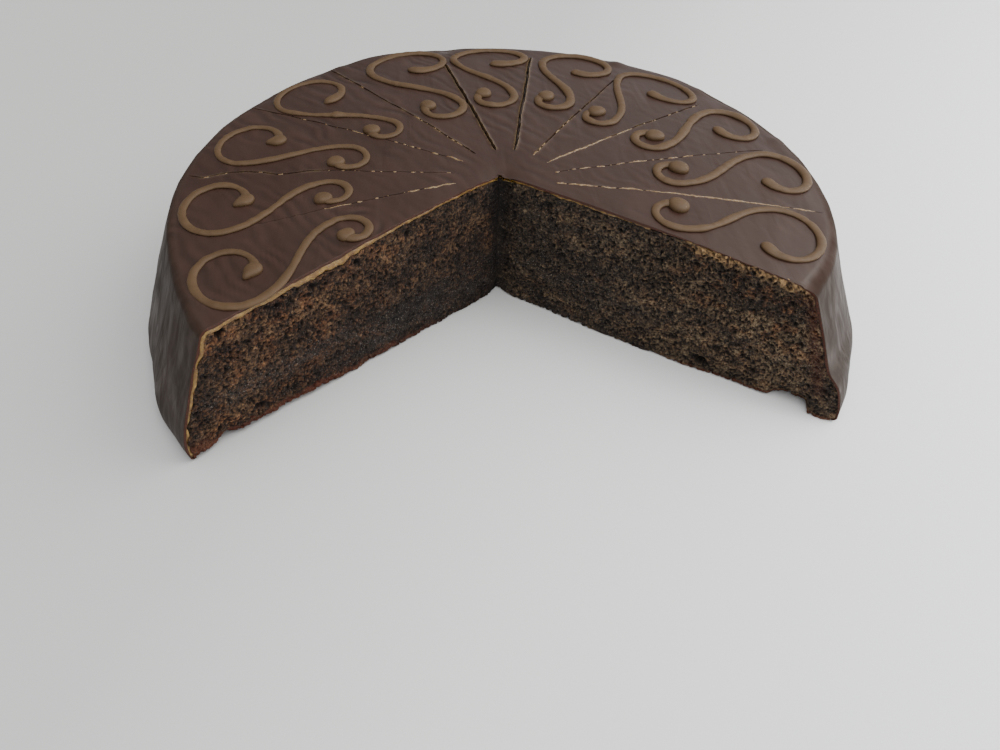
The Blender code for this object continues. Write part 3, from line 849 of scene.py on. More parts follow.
def right_pits(rho, z):
    d = 0.0
    for at, height, wide, tall, deep in (
            (80.5, 4.6, 2.4, 1.4, 3.0), (60.0, 38.0, 1.2, 0.9, 1.1), (98.0, 8.0, 1.5, 1.0, 1.2),
            (19.0, 45.0, 1.5, 1.2, 1.3), (45.0, 44.6, 1.2, 0.9, 1.1), (72.0, 41.0, 1.0, 1.2, 1.0),
            (90.0, 30.0, 1.0, 1.2, 1.0), (104.0, 38.6, 1.1, 1.0, 1.1), (85.0, 12.0, 1.4, 1.0, 1.1),
            (31.0, 37.0, 1.2, 1.3, 1.0), (110.0, 25.0, 1.0, 1.1, 1.0)):
        e = ((rho - at) / wide) ** 2 + ((z - height) / tall) ** 2
        d = d + deep * np.exp(-e ** 1.5)
    return d


def crumb(face, rho, z):
    """Relief of the crumb, mm out of the face, and the attributes the material
    reads: tone (the crumb's own tone, with painted light that makes raised grain
    lighter), pit (painted shade in pores, seams and pits), wet, crust and gold."""
    s = face.seed
    grain = 0.86 if face is LEFT else 0.82
    # the cells are bent a little so that no grid shows
    u = rho + 0.30 * noise(rho / 1.5, z / 1.5, 0.0, s + 1) + 0.11 * noise(rho / 0.6, z / 0.6, 0.0, s + 3)
    v = z + 0.30 * noise(rho / 1.5, z / 1.5, 5.0, s + 2) + 0.11 * noise(rho / 0.6, z / 0.6, 5.0, s + 4)
    near, second, who = cells(u / grain, v / (0.9 * grain), s + 11)
    lump = (0.5 - near) * (0.35 + 1.0 * who)
    seam = smooth(0.20, 0.0, second - near) * smooth(0.15, 0.6, noise(rho / 2.1, z / 1.7, 0.0, s + 20) + 0.45)
    rag = 0.55 * noise(u / 0.78, v / 0.70, 0.0, s + 5) + 0.45 * noise(u / 0.38, v / 0.38, 0.0, s + 6)
    hole_near, _, hole_who = cells(u / (grain * 2.0), v / (grain * 1.7), s + 13)
    size = np.where(hole_who > 0.50, 0.10 + 0.36 * (hole_who - 0.50) / 0.50, 0.0)
    hole = smooth(size + 0.07, size * 0.45, hole_near + 0.10 * rag) * (size > 0)
    pinch = smooth(-0.30, -0.62, rag)
    broad = fbm(rho / 6.5, z / 4.5, 0.0, s + 14, 2)
    relief = grain * 0.46 * lump + 0.30 * rag - 0.30 * grain * seam - 0.85 * grain * hole * (0.6 + 0.6 * hole_who) \
        - 0.22 * pinch + 0.42 * broad
    named = left_pits(rho, z) if face is LEFT else right_pits(rho, z)
    relief = relief - named
    # painted shade: how much darker the material paints pores, seams, pinched places and the named pits
    pit = np.clip(0.40 * seam + 0.95 * hole + 0.75 * pinch + 0.9 * np.clip(named, 0, 1) - 0.25 * rag, 0.0, 1.0)
    # the crumb's own tone that differs at random, plus painted light: it rises with the grain's height, so raised
    # crumb is painted lighter and low crumb darker
    tone = 0.5 + 0.34 * (who - 0.5) + 0.28 * rag + 0.20 * fbm(rho / 2.6, z / 2.6, 0.0, s + 15, 2) \
        + 0.26 * fbm(rho / 15.0, z / 7.0, 0.0, s + 16, 2) + 0.34 * lump
    warm = smooth(-0.25, 0.5, fbm(rho / 4.2, z / 3.4, 0.0, s + 21, 3))
    if face is LEFT:
        wet = bump(z, 17.5, 3.4) * smooth(55.0, 78.0, rho) * smooth(124.0, 112.0, rho) \
            + 0.75 * smooth(26.0, 12.0, z) * smooth(85.0, 50.0, rho) * smooth(0.0, 6.0, z)
        above = z - base_line(face, rho)
        crust = smooth(2.6, 1.2, above + 0.9 * noise(rho / 1.6, z / 1.1, 0.0, s + 22)) * smooth(20.0, 40.0, rho) * (0.55 + 0.45 * smooth(55.0, 80.0, rho))
        crust = np.maximum(crust, 0.8 * smooth(118.0, 123.0, rho + 0.3 * z) * smooth(9.0, 3.0, z))
        gold = 0.0 * rho
        cool = 0.0 * rho
        tone = tone + 0.10 * smooth(60.0, 105.0, rho) + 0.06 * smooth(20.0, 34.0, z) - 0.09 * smooth(24.0, 16.0, z) \
            - 0.07 * smooth(62.0, 30.0, rho) - 0.075
        warm = (0.22 + 0.55 * warm) * (0.55 + 0.45 * smooth(30.0, 70.0, rho))
    else:
        wet = 0.35 * smooth(70.0, 40.0, rho) + 0.25 * bump(z, 17.0, 3.0)
        above = z - base_line(face, rho)
        crust = 0.45 * bump(rho, 116.0 - (z - 22.0) * 0.35, 2.0) * smooth(4.0, 14.0, z) + 0.9 * smooth(1.3, 0.3, above) * smooth(60.0, 85.0, rho)
        edge = RIM_HEIGHT + crown(rho) - 0.8 - z
        along = smooth(64.0, 74.0, rho) * smooth(113.0, 108.0, rho)
        gold = smooth(4.0, 0.6, edge + 1.0 * noise(rho / 1.6, 3.0, 0.0, s + 23)) * along \
            * np.maximum(smooth(-0.30, 0.25, fbm(rho / 1.1, z / 0.9, 0.0, s + 18, 2)), smooth(1.5, 0.7, edge))
        knob, _, knob_who = cells(rho / 1.7, z / 1.5, s + 19)
        relief = relief + smooth(3.2, 0.6, edge) * along * (0.15 + 1.5 * (0.5 - knob) * (0.4 + 0.9 * knob_who))
        tone = tone + 0.08 * smooth(50.0, 100.0, rho) - 0.02
        cool = 0.60 + 0.40 * smooth(0.25, -0.25, fbm(rho / 2.4, z / 2.0, 0.0, s + 24, 2)) - 0.35 * smooth(30.0, 42.0, z) * smooth(50.0, 80.0, rho)
        warm = 0.75 * smooth(0.0, 0.40, fbm(rho / 2.6, z / 2.2, 0.0, s + 25, 2)) * (0.30 + 0.70 * smooth(55.0, 90.0, rho) * smooth(14.0, 30.0, z))
    wet = np.clip(wet * (0.75 + 0.5 * noise(rho / 4.0, z / 2.0, 0.0, s + 17)), 0.0, 1.0)
    return relief, {"tone": np.clip(tone, 0.0, 1.0), "pit": pit, "wet": wet,
                    "crust": np.clip(crust, 0, 1), "gold": gold, "warm": warm, "cool": np.clip(cool, 0, 1)}


def base_line(face, rho):
    """Height of the cut's lower edge, which lost crumb here and there."""
    if face is LEFT:
        line = 0.1 + 0.6 * smooth(10.0, 60.0, rho) + 1.1 * smooth(66.0, 79.0, rho) \
            + 0.35 * bump(rho, 113.5, 5.0) - 0.9 * smooth(118.0, 128.0, rho) \
            - 0.65 * bump(rho, 65.0, 1.6) - 0.8 * bump(rho, 76.6, 0.9)
        line = line + 0.30 * noise(rho / 1.1, 0.0, 0.0, 171) + 0.25 * noise(rho / 3.0, 0.0, 0.0, 172)
    else:
        line = 0.1 + 0.2 * smooth(60.0, 92.0, rho) + 0.6 * bump(rho, 95.0, 1.7) \
            + 1.0 * smooth(98.0, 108.0, rho) * smooth(121.0, 116.5, rho) - 0.2 * smooth(119.0, 122.0, rho)
        line = line + 0.18 * noise(rho / 1.2, 0.0, 0.0, 271)
    return np.maximum(line, 0.05)


def band_line(face, share, height, seed):
    w = 0.45 * noise(share * 9.0, 0.0, 0.0, face.seed + seed) + 0.2 * noise(share * 33.0, 0.0, 0.0, face.seed + seed + 1)
    return height + w * (1 - np.exp(-(share / 0.02) ** 2)) * 1.0


def side_curve(face):
    """The sponge's side on this cut: heights rising, with their distances."""
    edge = EDGE[face]
    corner = np.searchsorted(edge.mix, 0.5)
    side = edge.c2[corner:][::-1]
    keep = np.concatenate([[True], np.diff(np.maximum.accumulate(side[:, 1])) > 1e-4])
    side = side[keep]
    return side[:, 1], side[:, 0], edge.c2[:corner + 1]


STEP = 0.30


def face_grid(face, layer):
    """Grid of (distance, height) over one layer of one cut face: rows go up,
    columns go out from the apex."""
    heights, reaches, top = side_curve(face)
    columns = int(round(118.0 / STEP))
    share = np.linspace(0.0, 1.0, columns + 1)
    low = band_line(face, share, BAND_LOW, 21)
    high = band_line(face, share, BAND_HIGH, 23)
    if layer == "lower":
        foot = np.interp(1.5, heights, reaches)
        bottom = base_line(face, share * foot)
        bottom_rho = share * np.interp(bottom, heights, reaches)
        upper, rows = low, int(round(15.0 / STEP))
        top_curve = np.stack([share * np.interp(upper, heights, reaches), upper], -1)
        bottom_curve = np.stack([bottom_rho, bottom], -1)
    elif layer == "band":
        rows = 7
        bottom_curve = np.stack([share * np.interp(low, heights, reaches), low], -1)
        top_curve = np.stack([share * np.interp(high, heights, reaches), high], -1)
    else:
        rows = int(round(29.0 / STEP))
        bottom_curve = np.stack([share * np.interp(high, heights, reaches), high], -1)
        along = share * top[-1, 0]
        top_curve = np.stack([along, np.interp(along, top[:, 0], top[:, 1])], -1)
    t = np.linspace(0.0, 1.0, rows + 1)[:, None]
    right_z = bottom_curve[-1, 1] + (top_curve[-1, 1] - bottom_curve[-1, 1]) * t[:, 0]
    right = np.stack([np.interp(right_z, heights, reaches), right_z], -1)
    right[0], right[-1] = bottom_curve[-1], top_curve[-1]
    s = share[None, :]
    grid = np.zeros((rows + 1, columns + 1, 2))
    for k in (0, 1):
        left = bottom_curve[0, k] + (top_curve[0, k] - bottom_curve[0, k]) * t
        straight = (1 - t) * bottom_curve[None, :, k] + t * top_curve[None, :, k]
        sides = (1 - s) * left + s * right[:, None, k]
        corners = (1 - s) * left + s * (bottom_curve[-1, k] + (top_curve[-1, k] - bottom_curve[-1, k]) * t)
        grid[..., k] = straight + sides - corners
    return grid


def undercut(solid, loop, faces):
    """Two rings inside the lower edge, so that where crumb broke away the base
    stands free of the table for a few millimetres. Returns the inner ring."""
    points = np.concatenate(solid.points)[loop]
    right_count = faces[RIGHT][0].shape[1]
    left_count = faces[LEFT][0].shape[1] - 1
    inward = np.zeros((len(loop), 2))
    inward[:right_count] = -RIGHT.n
    inward[len(loop) - left_count:] = -LEFT.n
    middle = slice(right_count, len(loop) - left_count)
    inward[middle] = -points[middle, :2] / np.hypot(*points[middle, :2].T)[:, None]
    inward[0] = np.array([0.0, 1.0])
    deep = 0.5 + 1.9 * smooth(0.5, 2.4, points[:, 2])
    rings = [loop]
    for share, height in ((0.9, points[:, 2] + 0.25), (1.0, 0.0 * points[:, 2])):
        xy = points[:, :2] + inward * (deep * share)[:, None]
        # the rings under the lifted edge get a little painted shade too
        rings.append(solid.add(np.column_stack([xy, height]), tone=0.45, pit=0.25, crust=0.7))
    index = np.array(rings)
    solid.grid(np.concatenate([index, index[:, :1]], axis=1), flip=False)
    return index[-1]


def make_layer(name, layer):
    solid = Solid()
    faces = {}
    for face in (LEFT, RIGHT):
        grid = face_grid(face, layer)
        rho, z = grid[..., 0], grid[..., 1]
        relief, attributes = crumb(face, rho, z)
        warp = face.warp(rho, z)
        settle = smooth(0.0, 3.0, rho)
        lift = warp + relief * (0.35 + 0.65 * settle)
        if layer == "upper" and face is RIGHT:
            # crumbs and dried jam stand up over the glaze's edge
            edge = RIM_HEIGHT + crown(rho) - 0.8 - z
            stand = 0.45 * noise(rho / 1.3, 2.0, 0.0, 291) + 0.30 * noise(rho / 0.6, 2.0, 0.0, 292)
            z = z + smooth(1.6, 0.2, edge) * smooth(64.0, 74.0, rho) * smooth(112.0, 107.0, rho) * np.clip(0.40 + stand, 0.0, 1.0)
        points = face.place(rho, z, lift)
        # both faces meet at the bottom of the crevice
        blend = np.exp(-(rho / 1.6) ** 2)[..., None]
        middle = np.stack([np.full_like(z, APEX[0] + CREVICE[0]), np.full_like(z, APEX[1] + CREVICE[1]), z], -1)
        points = points * (1 - blend) + middle * blend
        # painted shade: the crumb at the crevice between the two faces is painted darker
        attributes["pit"] = np.clip(attributes["pit"] + 0.7 * bump(rho, 0.0, 3.0), 0, 1)
        faces[face] = (points, attributes)
    rows = faces[LEFT][0].shape[0]
    index = {}
    for face in (LEFT, RIGHT):
        points, attributes = faces[face]
        if face is LEFT:
            index[face] = solid.add(points, **attributes)
        else:
            rest = solid.add(points[:, 1:], **{k: v[:, 1:] for k, v in attributes.items()})
            index[face] = np.concatenate([index[LEFT][:, :1], rest], axis=1)
        solid.grid(index[face], flip=(face is LEFT))
    # the hidden side under the jam
    steps = 72
    start, end = faces[RIGHT][0][:, -1], faces[LEFT][0][:, -1]
    a0 = np.arctan2(start[:, 1], start[:, 0])
    a1 = np.arctan2(end[:, 1], end[:, 0]) % (2 * math.pi)
    ring_rows = sorted(set(np.linspace(0, rows - 1, min(rows, 14)).astype(int)))
    rings = []
    for k in range(1, steps):
        share = k / steps
        angle = a0[ring_rows] + (a1[ring_rows] - a0[ring_rows]) * share
        z = start[ring_rows, 2] * (1 - share) + end[ring_rows, 2] * share
        if layer == "lower":
            away = smooth(0.0, 0.02, share) * smooth(0.0, 0.02, 1 - share)
            z = z * (1 - away) + away * np.linspace(0.0, BAND_LOW, len(ring_rows))
        r = side_radius(np.clip(z, 0, 43.6), angle) - 2.1
        near = np.maximum(1 - share / 0.03, 0.0), np.maximum(1 - (1 - share) / 0.03, 0.0)
        r = r * (1 - near[0] - near[1]) + near[0] * np.hypot(*start[ring_rows, :2].T) + near[1] * np.hypot(*end[ring_rows, :2].T)
        rings.append(solid.add(np.stack([r * np.cos(angle), r * np.sin(angle), z], -1), tone=0.5))
    rings = np.array(rings)
    solid.grid(rings, flip=True)
    for face, ring, flip in ((RIGHT, rings[0], False), (LEFT, rings[-1], True)):
        solid.triangles(stitch(index[face][:, -1], ring), flip=flip)
    # caps
    for row, up in ((-1, 1.0), (0, -1.0)):
        loop = np.concatenate([index[RIGHT][row], rings[:, row], index[LEFT][row][::-1][:-1]])
        if layer == "lower" and row == 0:
            loop = undercut(solid, loop, faces)
        cap(solid, loop, up)
    return solid.finish(name)


def cap(solid, loop, up):
    """Closes a loop that is not convex; up is 1 for a cap that faces up."""
    points = np.concatenate(solid.points)[loop][:, :2]
    tris = np.array([t for t in tessellate_polygon([[Vector((x, y, 0.0)) for x, y in points]])])
    a, b, c = points[tris[:, 0]], points[tris[:, 1]], points[tris[:, 2]]
    area = (b[:, 0] - a[:, 0]) * (c[:, 1] - a[:, 1]) - (b[:, 1] - a[:, 1]) * (c[:, 0] - a[:, 0])
    wrong = area * up < 0
    tris[wrong] = tris[wrong][:, ::-1]
    solid.triangles(np.asarray(loop)[tris])


# ---------------------------------------------------------------- the piping
def loop_points(loop, count):
    x, y, radius, aspect, tilt, start, sweep, tight = loop
    share = np.linspace(0.0, 1.0, count + 1)
    angle = np.radians(start + sweep * share)
    grow = tight + (1.0 - tight) * np.sin(0.5 * math.pi * np.minimum(share / 0.6, 1.0))
    c, s = math.cos(math.radians(tilt)), math.sin(math.radians(tilt))
    u, v = radius * grow * np.cos(angle), radius * aspect * grow * np.sin(angle)
    return np.stack([x + c * u - s * v, y + s * u + c * v], -1)


def scroll_path(outer, inner, slack):
    """Outer loop from its free end, an easy S between, then the inner loop."""
    a = loop_points(outer, 60)
    b = loop_points(inner, 60)[::-1]
    leave = (a[-1] - a[-2]) / np.hypot(*(a[-1] - a[-2]))
    join = (b[1] - b[0]) / np.hypot(*(b[1] - b[0]))
    pull = np.hypot(*(b[0] - a[-1])) * slack
    t = np.linspace(0.0, 1.0, 31)[1:-1, None]
    middle = (2 * t ** 3 - 3 * t ** 2 + 1) * a[-1] + (t ** 3 - 2 * t ** 2 + t) * pull * leave \
        + (-2 * t ** 3 + 3 * t ** 2) * b[0] + (t ** 3 - t ** 2) * pull * join
    return np.concatenate([a, middle, b])


def resample(path, step):
    length = np.concatenate([[0.0], np.cumsum(np.hypot(*np.diff(path, axis=0).T))])
    count = int(length[-1] / step)
    at = np.linspace(0.0, length[-1], count + 1)
    return np.stack([np.interp(at, length, path[:, 0]), np.interp(at, length, path[:, 1])], -1), at


SIDES = 16


def dome(solid, x, y, outline, tall, seed):
    """A low round-backed drop sitting on the glaze; outline gives its reach in
    each direction."""
    turn = np.linspace(0.0, 2 * math.pi, 28, endpoint=False)
    reach = outline(turn)
    rows = []
    for share, lift in ((0.95, -0.10), (1.0, 0.18), (0.975, 0.42), (0.90, 0.63), (0.76, 0.81), (0.56, 0.92), (0.30, 0.985)):
        px, py = x + reach * share * np.cos(turn), y + reach * share * np.sin(turn)
        lump = 0.03 * noise(px / 1.2, py / 1.2, 0.0, seed)
        rows.append(solid.add(np.stack([px, py, surface_z(px, py) - 0.08 + lift * tall + lump], -1)))
    index = np.array(rows)
    solid.grid(np.concatenate([index, index[:, :1]], axis=1), flip=True)
    ground = float(surface_z(np.array([x]), np.array([y]))[0])
    for ring, height, flip in ((index[-1], tall - 0.08, True), (index[0], -0.12, False)):
        centre = solid.add(np.array([[x, y, ground + height]]))[0]
        solid.triangles(np.stack([np.full(len(ring), centre), ring, np.roll(ring, -1)], -1), flip=not flip)


def make_strand(number):
    """A piped strand of chocolate: a low rounded back that settled on the
    glaze, with a round bead where it began and a swollen or beaked far end."""
    outer, inner, slack = scroll_loops(number)
    width, tail, tail_length, tip = STRANDS[number]
    path = scroll_path(outer, inner, slack)
    seed = 500 + number * 7
    bead, spot = path[-1], path[0]
    drop = number < DROPS
    path, at = resample(path, 0.42)
    total = at[-1]
    wide = width * (1 + 0.13 * noise(at / 7.0, 0.0, 0.0, seed) + 0.05 * noise(at / 1.8, 0.0, 0.0, seed + 1))
    if number == 3:
        wide = wide * (1 + 0.45 * np.exp(-((at - 0.640 * total) / 1.7) ** 2) - 0.20 * np.exp(-((at - 0.575 * total) / 4.0) ** 2))
    swell = np.exp(-(np.clip(at - tail_length * 0.55, -9, 99) / (tail_length * 0.62)) ** 2)
    wide = wide * (1 + (tail - 1) * swell)
    if drop:
        wide = wide * (1 + 0.55 * np.exp(-(at / 3.2) ** 2) - 0.14 * np.exp(-((at - 9.0) / 3.5) ** 2))
    if tip > 0:
        wide = wide * (1 - 0.62 * tip * smooth(4.5, 0.4, at))
    end = 0.5 * width * tail
    if not drop:
        wide = np.where(at < end, wide * np.sqrt(np.clip(1 - ((end - at) / (end + 0.1)) ** 2, 0.0, 1.0)), wide)
    wide = wide * (1 + 0.22 * smooth(7.0, 1.0, total - at))
    wide = np.maximum(wide, 0.2)
    tall = 0.39 * np.minimum(wide, 3.4 + 0.35 * (wide - 3.4)) * (1 + 0.08 * noise(at / 3.4, 2.0, 0.0, seed + 2))
    heading = np.gradient(path, axis=0)
    heading /= np.hypot(*heading.T)[:, None]
    across = np.stack([-heading[:, 1], heading[:, 0]], -1)
    turn = np.linspace(0.0, 2 * math.pi, SIDES, endpoint=False)
    # a D: full circle above, pressed flat below
    cu, su = np.cos(turn), np.sin(turn)
    up = np.where(su >= -0.35, 0.36 + 0.64 * su, 0.36 - 0.64 * 0.35 - 0.10 * (-su - 0.35) / 0.65)
    side = np.where(su < 0, cu * (1 + 0.05 * su ** 2), cu)
    x = path[:, 0, None] + across[:, 0, None] * 0.5 * wide[:, None] * side
    y = path[:, 1, None] + across[:, 1, None] * 0.5 * wide[:, None] * side
    ground = surface_z(path[:, 0], path[:, 1])[:, None]
    slope = surface_z(x, y)
    z = 0.5 * (ground + slope) - 0.12 + up * tall[:, None]
    z = z + 0.03 * noise(x / 1.1, y / 1.1, 0.0, seed + 3) * (up > 0.3)
    points = np.stack([x, y, z], -1)
    solid = Solid()
    index = solid.add(points)
    closed = np.concatenate([index, index[:, :1]], axis=1)
    solid.grid(closed, flip=True)
    for row, step, flip in ((0, -1.0, True), (-1, 1.0, False)):
        end = points[row].mean(0) + np.append(heading[row] * step * 0.12, 0.0)
        centre = solid.add(end[None])[0]
        ring = index[row]
        solid.triangles(np.stack([np.full(SIDES, centre), ring, np.roll(ring, -1)], -1), flip=flip)
    size = BEAD_RADIUS + BEAD_GROWTH * number
    dome(solid, bead[0], bead[1], lambda a: size * (1 + 0.05 * np.sin(2 * a + number) + 0.03 * np.sin(3 * a + 2.0 * number)),
         0.62 * size, seed + 4)
    if drop:
        away = math.atan2(spot[1], spot[0]) + math.radians(BEAK_TURN)
        def beaked(a):
            turned_by = (a - away + math.pi) % (2 * math.pi) - math.pi
            return DROP_RADIUS * (1 + 0.05 * np.sin(2 * a)) + (BEAK_REACH - DROP_RADIUS) * np.exp(-(np.abs(turned_by) / 0.34) ** 1.5)
        dome(solid, spot[0], spot[1], beaked, 0.58 * DROP_RADIUS, seed + 5)
    return solid.finish("piped_scroll_%02d" % (number + 1))


# ----------------------------------------------------- jam in the open scores
def gold_amount(number, r):
    table = {
        0: ((17, .8), (35, .85), (56, .6), (60, .3), (72, .12), (74, 0), (110, 0)),
        1: ((17, .35), (58, .3), (62, .05), (73, .05), (75, .5), (77, .05), (84, .4), (87, .05), (99, .4), (102, 0), (110, 0)),
        2: ((17, .8), (45, .7), (58, .55), (62, .15), (82, .15), (86, .05), (110, 0)),
        3: ((17, .6), (30, .6), (33, .3), (68, .3), (72, .15), (92, .1), (110, 0)),
        4: ((17, 0), (110, 0)),
        5: ((17, 0), (110, 0)),
        6: ((17, .6), (28, .5), (32, .25), (36, .5), (46, .5), (50, .2), (58, .45), (64, .2), (97, .1), (110, 0)),
        7: ((17, .95), (40, .95), (56, .8), (62, .4), (95, .35), (98, 0), (110, 0)),
        8: ((17, .5), (60, .5), (85, .35), (90, 0), (110, 0)),
        9: ((17, .95), (60, .9), (100, .8), (105, 0), (110, 0)),
    }[number]
    return np.interp(r, [a for a, _ in table], [b for _, b in table])


def make_score_jam():
    """Short lumpy ridges of apricot jam that the divider squeezed up."""
    solid = Solid()
    profile = np.array([(-1.0, -0.9), (-0.85, 0.2), (-0.4, 0.85), (0.0, 1.0), (0.4, 0.85), (0.85, 0.2), (1.0, -0.9)])
    for number in range(len(SCORES)):
        r = np.arange(HUB - 0.2, 107.0, 0.28)
        want = gold_amount(number, r)
        draw = 0.5 + 0.5 * noise(r / 1.5, number * 9.1, 0.0, 401) + 0.18 * noise(r / 0.45, number * 3.3, 0.0, 402)
        draw = draw + 0.25 * noise(r / 8.0, number * 1.7, 0.0, 404)
        on = (draw < want * 1.02) & (want > 0.03)
        runs, start = [], None
        for i, value in enumerate(on):
            if value and start is None:
                start = i
            if (not value or i == len(on) - 1) and start is not None:
                if i - start >= 2:
                    runs.append((start, i))
                start = None
        for first, last in runs:
            rr = r[first:last]
            share = np.linspace(-1, 1, len(rr))
            taper = np.sqrt(np.clip(1 - share ** 2 * 0.94, 0.05, 1))
            fat = (0.24 + 0.27 * want[first:last]) * (1 + 0.35 * noise(rr / 0.7, number * 2.9, 0.0, 405)) * taper
            angle = score_angle(number, rr) + (score_wander(number, rr) + 0.14 * noise(rr / 1.2, 4.0, 0.0, 406)) / rr
            cx, cy = rr * np.cos(angle), rr * np.sin(angle)
            ground = surface_z(cx, cy)
            high = (0.07 + 0.22 * want[first:last]) * taper * (1 + 0.6 * noise(rr / 0.8, 7.7, 0.0, 407))
            nx, ny = -np.sin(angle), np.cos(angle)
            x = cx[:, None] + nx[:, None] * fat[:, None] * profile[:, 0]
            y = cy[:, None] + ny[:, None] * fat[:, None] * profile[:, 0]
            z = ground[:, None] + np.where(profile[:, 1] > 0, profile[:, 1] * high[:, None], profile[:, 1] * 0.5)
            index = solid.add(np.stack([x, y, z], -1), bright=np.broadcast_to(want[first:last, None], x.shape))
            solid.grid(np.concatenate([index, index[:, :1]], axis=1), flip=False)
            for ring, flip in ((index[0], False), (index[-1], True)):
                solid.triangles([(ring[0], ring[k], ring[k + 1]) for k in range(1, len(ring) - 1)], flip=flip)
    return solid.finish("score_jam")


# ------------------------------------------------------------------ materials
class Nodes:
    """Short names for the few kinds of shader node used here."""

    def __init__(self, name):
        self.material = bpy.data.materials.new(name)
        self.material.use_nodes = True
        self.tree = self.material.node_tree
        self.shader = self.tree.nodes["Principled BSDF"]
        self.coords = self.tree.nodes.new("ShaderNodeTexCoord").outputs["Object"]

    def new(self, kind, **settings):
        node = self.tree.nodes.new(kind)
        for key, value in settings.items():
            setattr(node, key, value)
        return node

    def link(self, source, target):
        self.tree.links.new(source, target)

    def put(self, target, value):
        if isinstance(value, bpy.types.NodeSocket):
            self.link(value, target)
        else:
            target.default_value = value

    def attribute(self, name):
        return self.new("ShaderNodeAttribute", attribute_name=name).outputs["Fac"]

    def mapped(self, scale=(1, 1, 1), rotation=(0, 0, 0)):
        node = self.new("ShaderNodeMapping")
        self.link(self.coords, node.inputs["Vector"])
        node.inputs["Rotation"].default_value = rotation
        node.inputs["Scale"].default_value = scale
        return node.outputs["Vector"]

    def noise(self, scale, detail=2.0, roughness=0.5, vector=None, distortion=0.0):
        node = self.new("ShaderNodeTexNoise")
        self.link(vector or self.coords, node.inputs["Vector"])
        node.inputs["Scale"].default_value = scale
        node.inputs["Detail"].default_value = detail
        node.inputs["Roughness"].default_value = roughness
        node.inputs["Distortion"].default_value = distortion
        return node.outputs["Fac"]

    def voronoi(self, scale, output="Distance"):
        node = self.new("ShaderNodeTexVoronoi")
        self.link(self.coords, node.inputs["Vector"])
        node.inputs["Scale"].default_value = scale
        return node.outputs[output]

    def math(self, operation, a, b=0.0, clamp=False):
        node = self.new("ShaderNodeMath", operation=operation, use_clamp=clamp)
        self.put(node.inputs[0], a)
        self.put(node.inputs[1], b)
        return node.outputs[0]

    def ramp(self, factor, *stops):
        node = self.new("ShaderNodeValToRGB")
        self.link(factor, node.inputs["Fac"])
        elements = node.color_ramp.elements
        while len(elements) < len(stops):
            elements.new(0.5)
        for element, (position, colour) in zip(elements, stops):
            element.position = position
            element.color = (*colour, 1.0)
        return node.outputs["Color"]

    def span(self, value, low, high, to_low, to_high):
        node = self.new("ShaderNodeMapRange")
        self.put(node.inputs["Value"], value)
        node.inputs["From Min"].default_value = low
        node.inputs["From Max"].default_value = high
        node.inputs["To Min"].default_value = to_low
        node.inputs["To Max"].default_value = to_high
        return node.outputs["Result"]

    def mix(self, factor, a, b, blend="MIX"):
        node = self.new("ShaderNodeMix", data_type="RGBA", blend_type=blend)
        self.put(node.inputs[0], factor)
        for socket, value in ((node.inputs[6], a), (node.inputs[7], b)):
            self.put(socket, value if isinstance(value, bpy.types.NodeSocket) else (*value, 1.0))
        return node.outputs[2]

    def shade(self, value):
        """A grey of this value."""
        node = self.new("ShaderNodeCombineColor")
        for socket in node.inputs:
            self.link(value, socket)
        return node.outputs[0]

    def relief(self, height, distance, strength=1.0, after=None):
        node = self.new("ShaderNodeBump")
        self.link(height, node.inputs["Height"])
        node.inputs["Distance"].default_value = distance
        node.inputs["Strength"].default_value = strength
        if after is not None:
            self.link(after, node.inputs["Normal"])
        return node.outputs["Normal"]


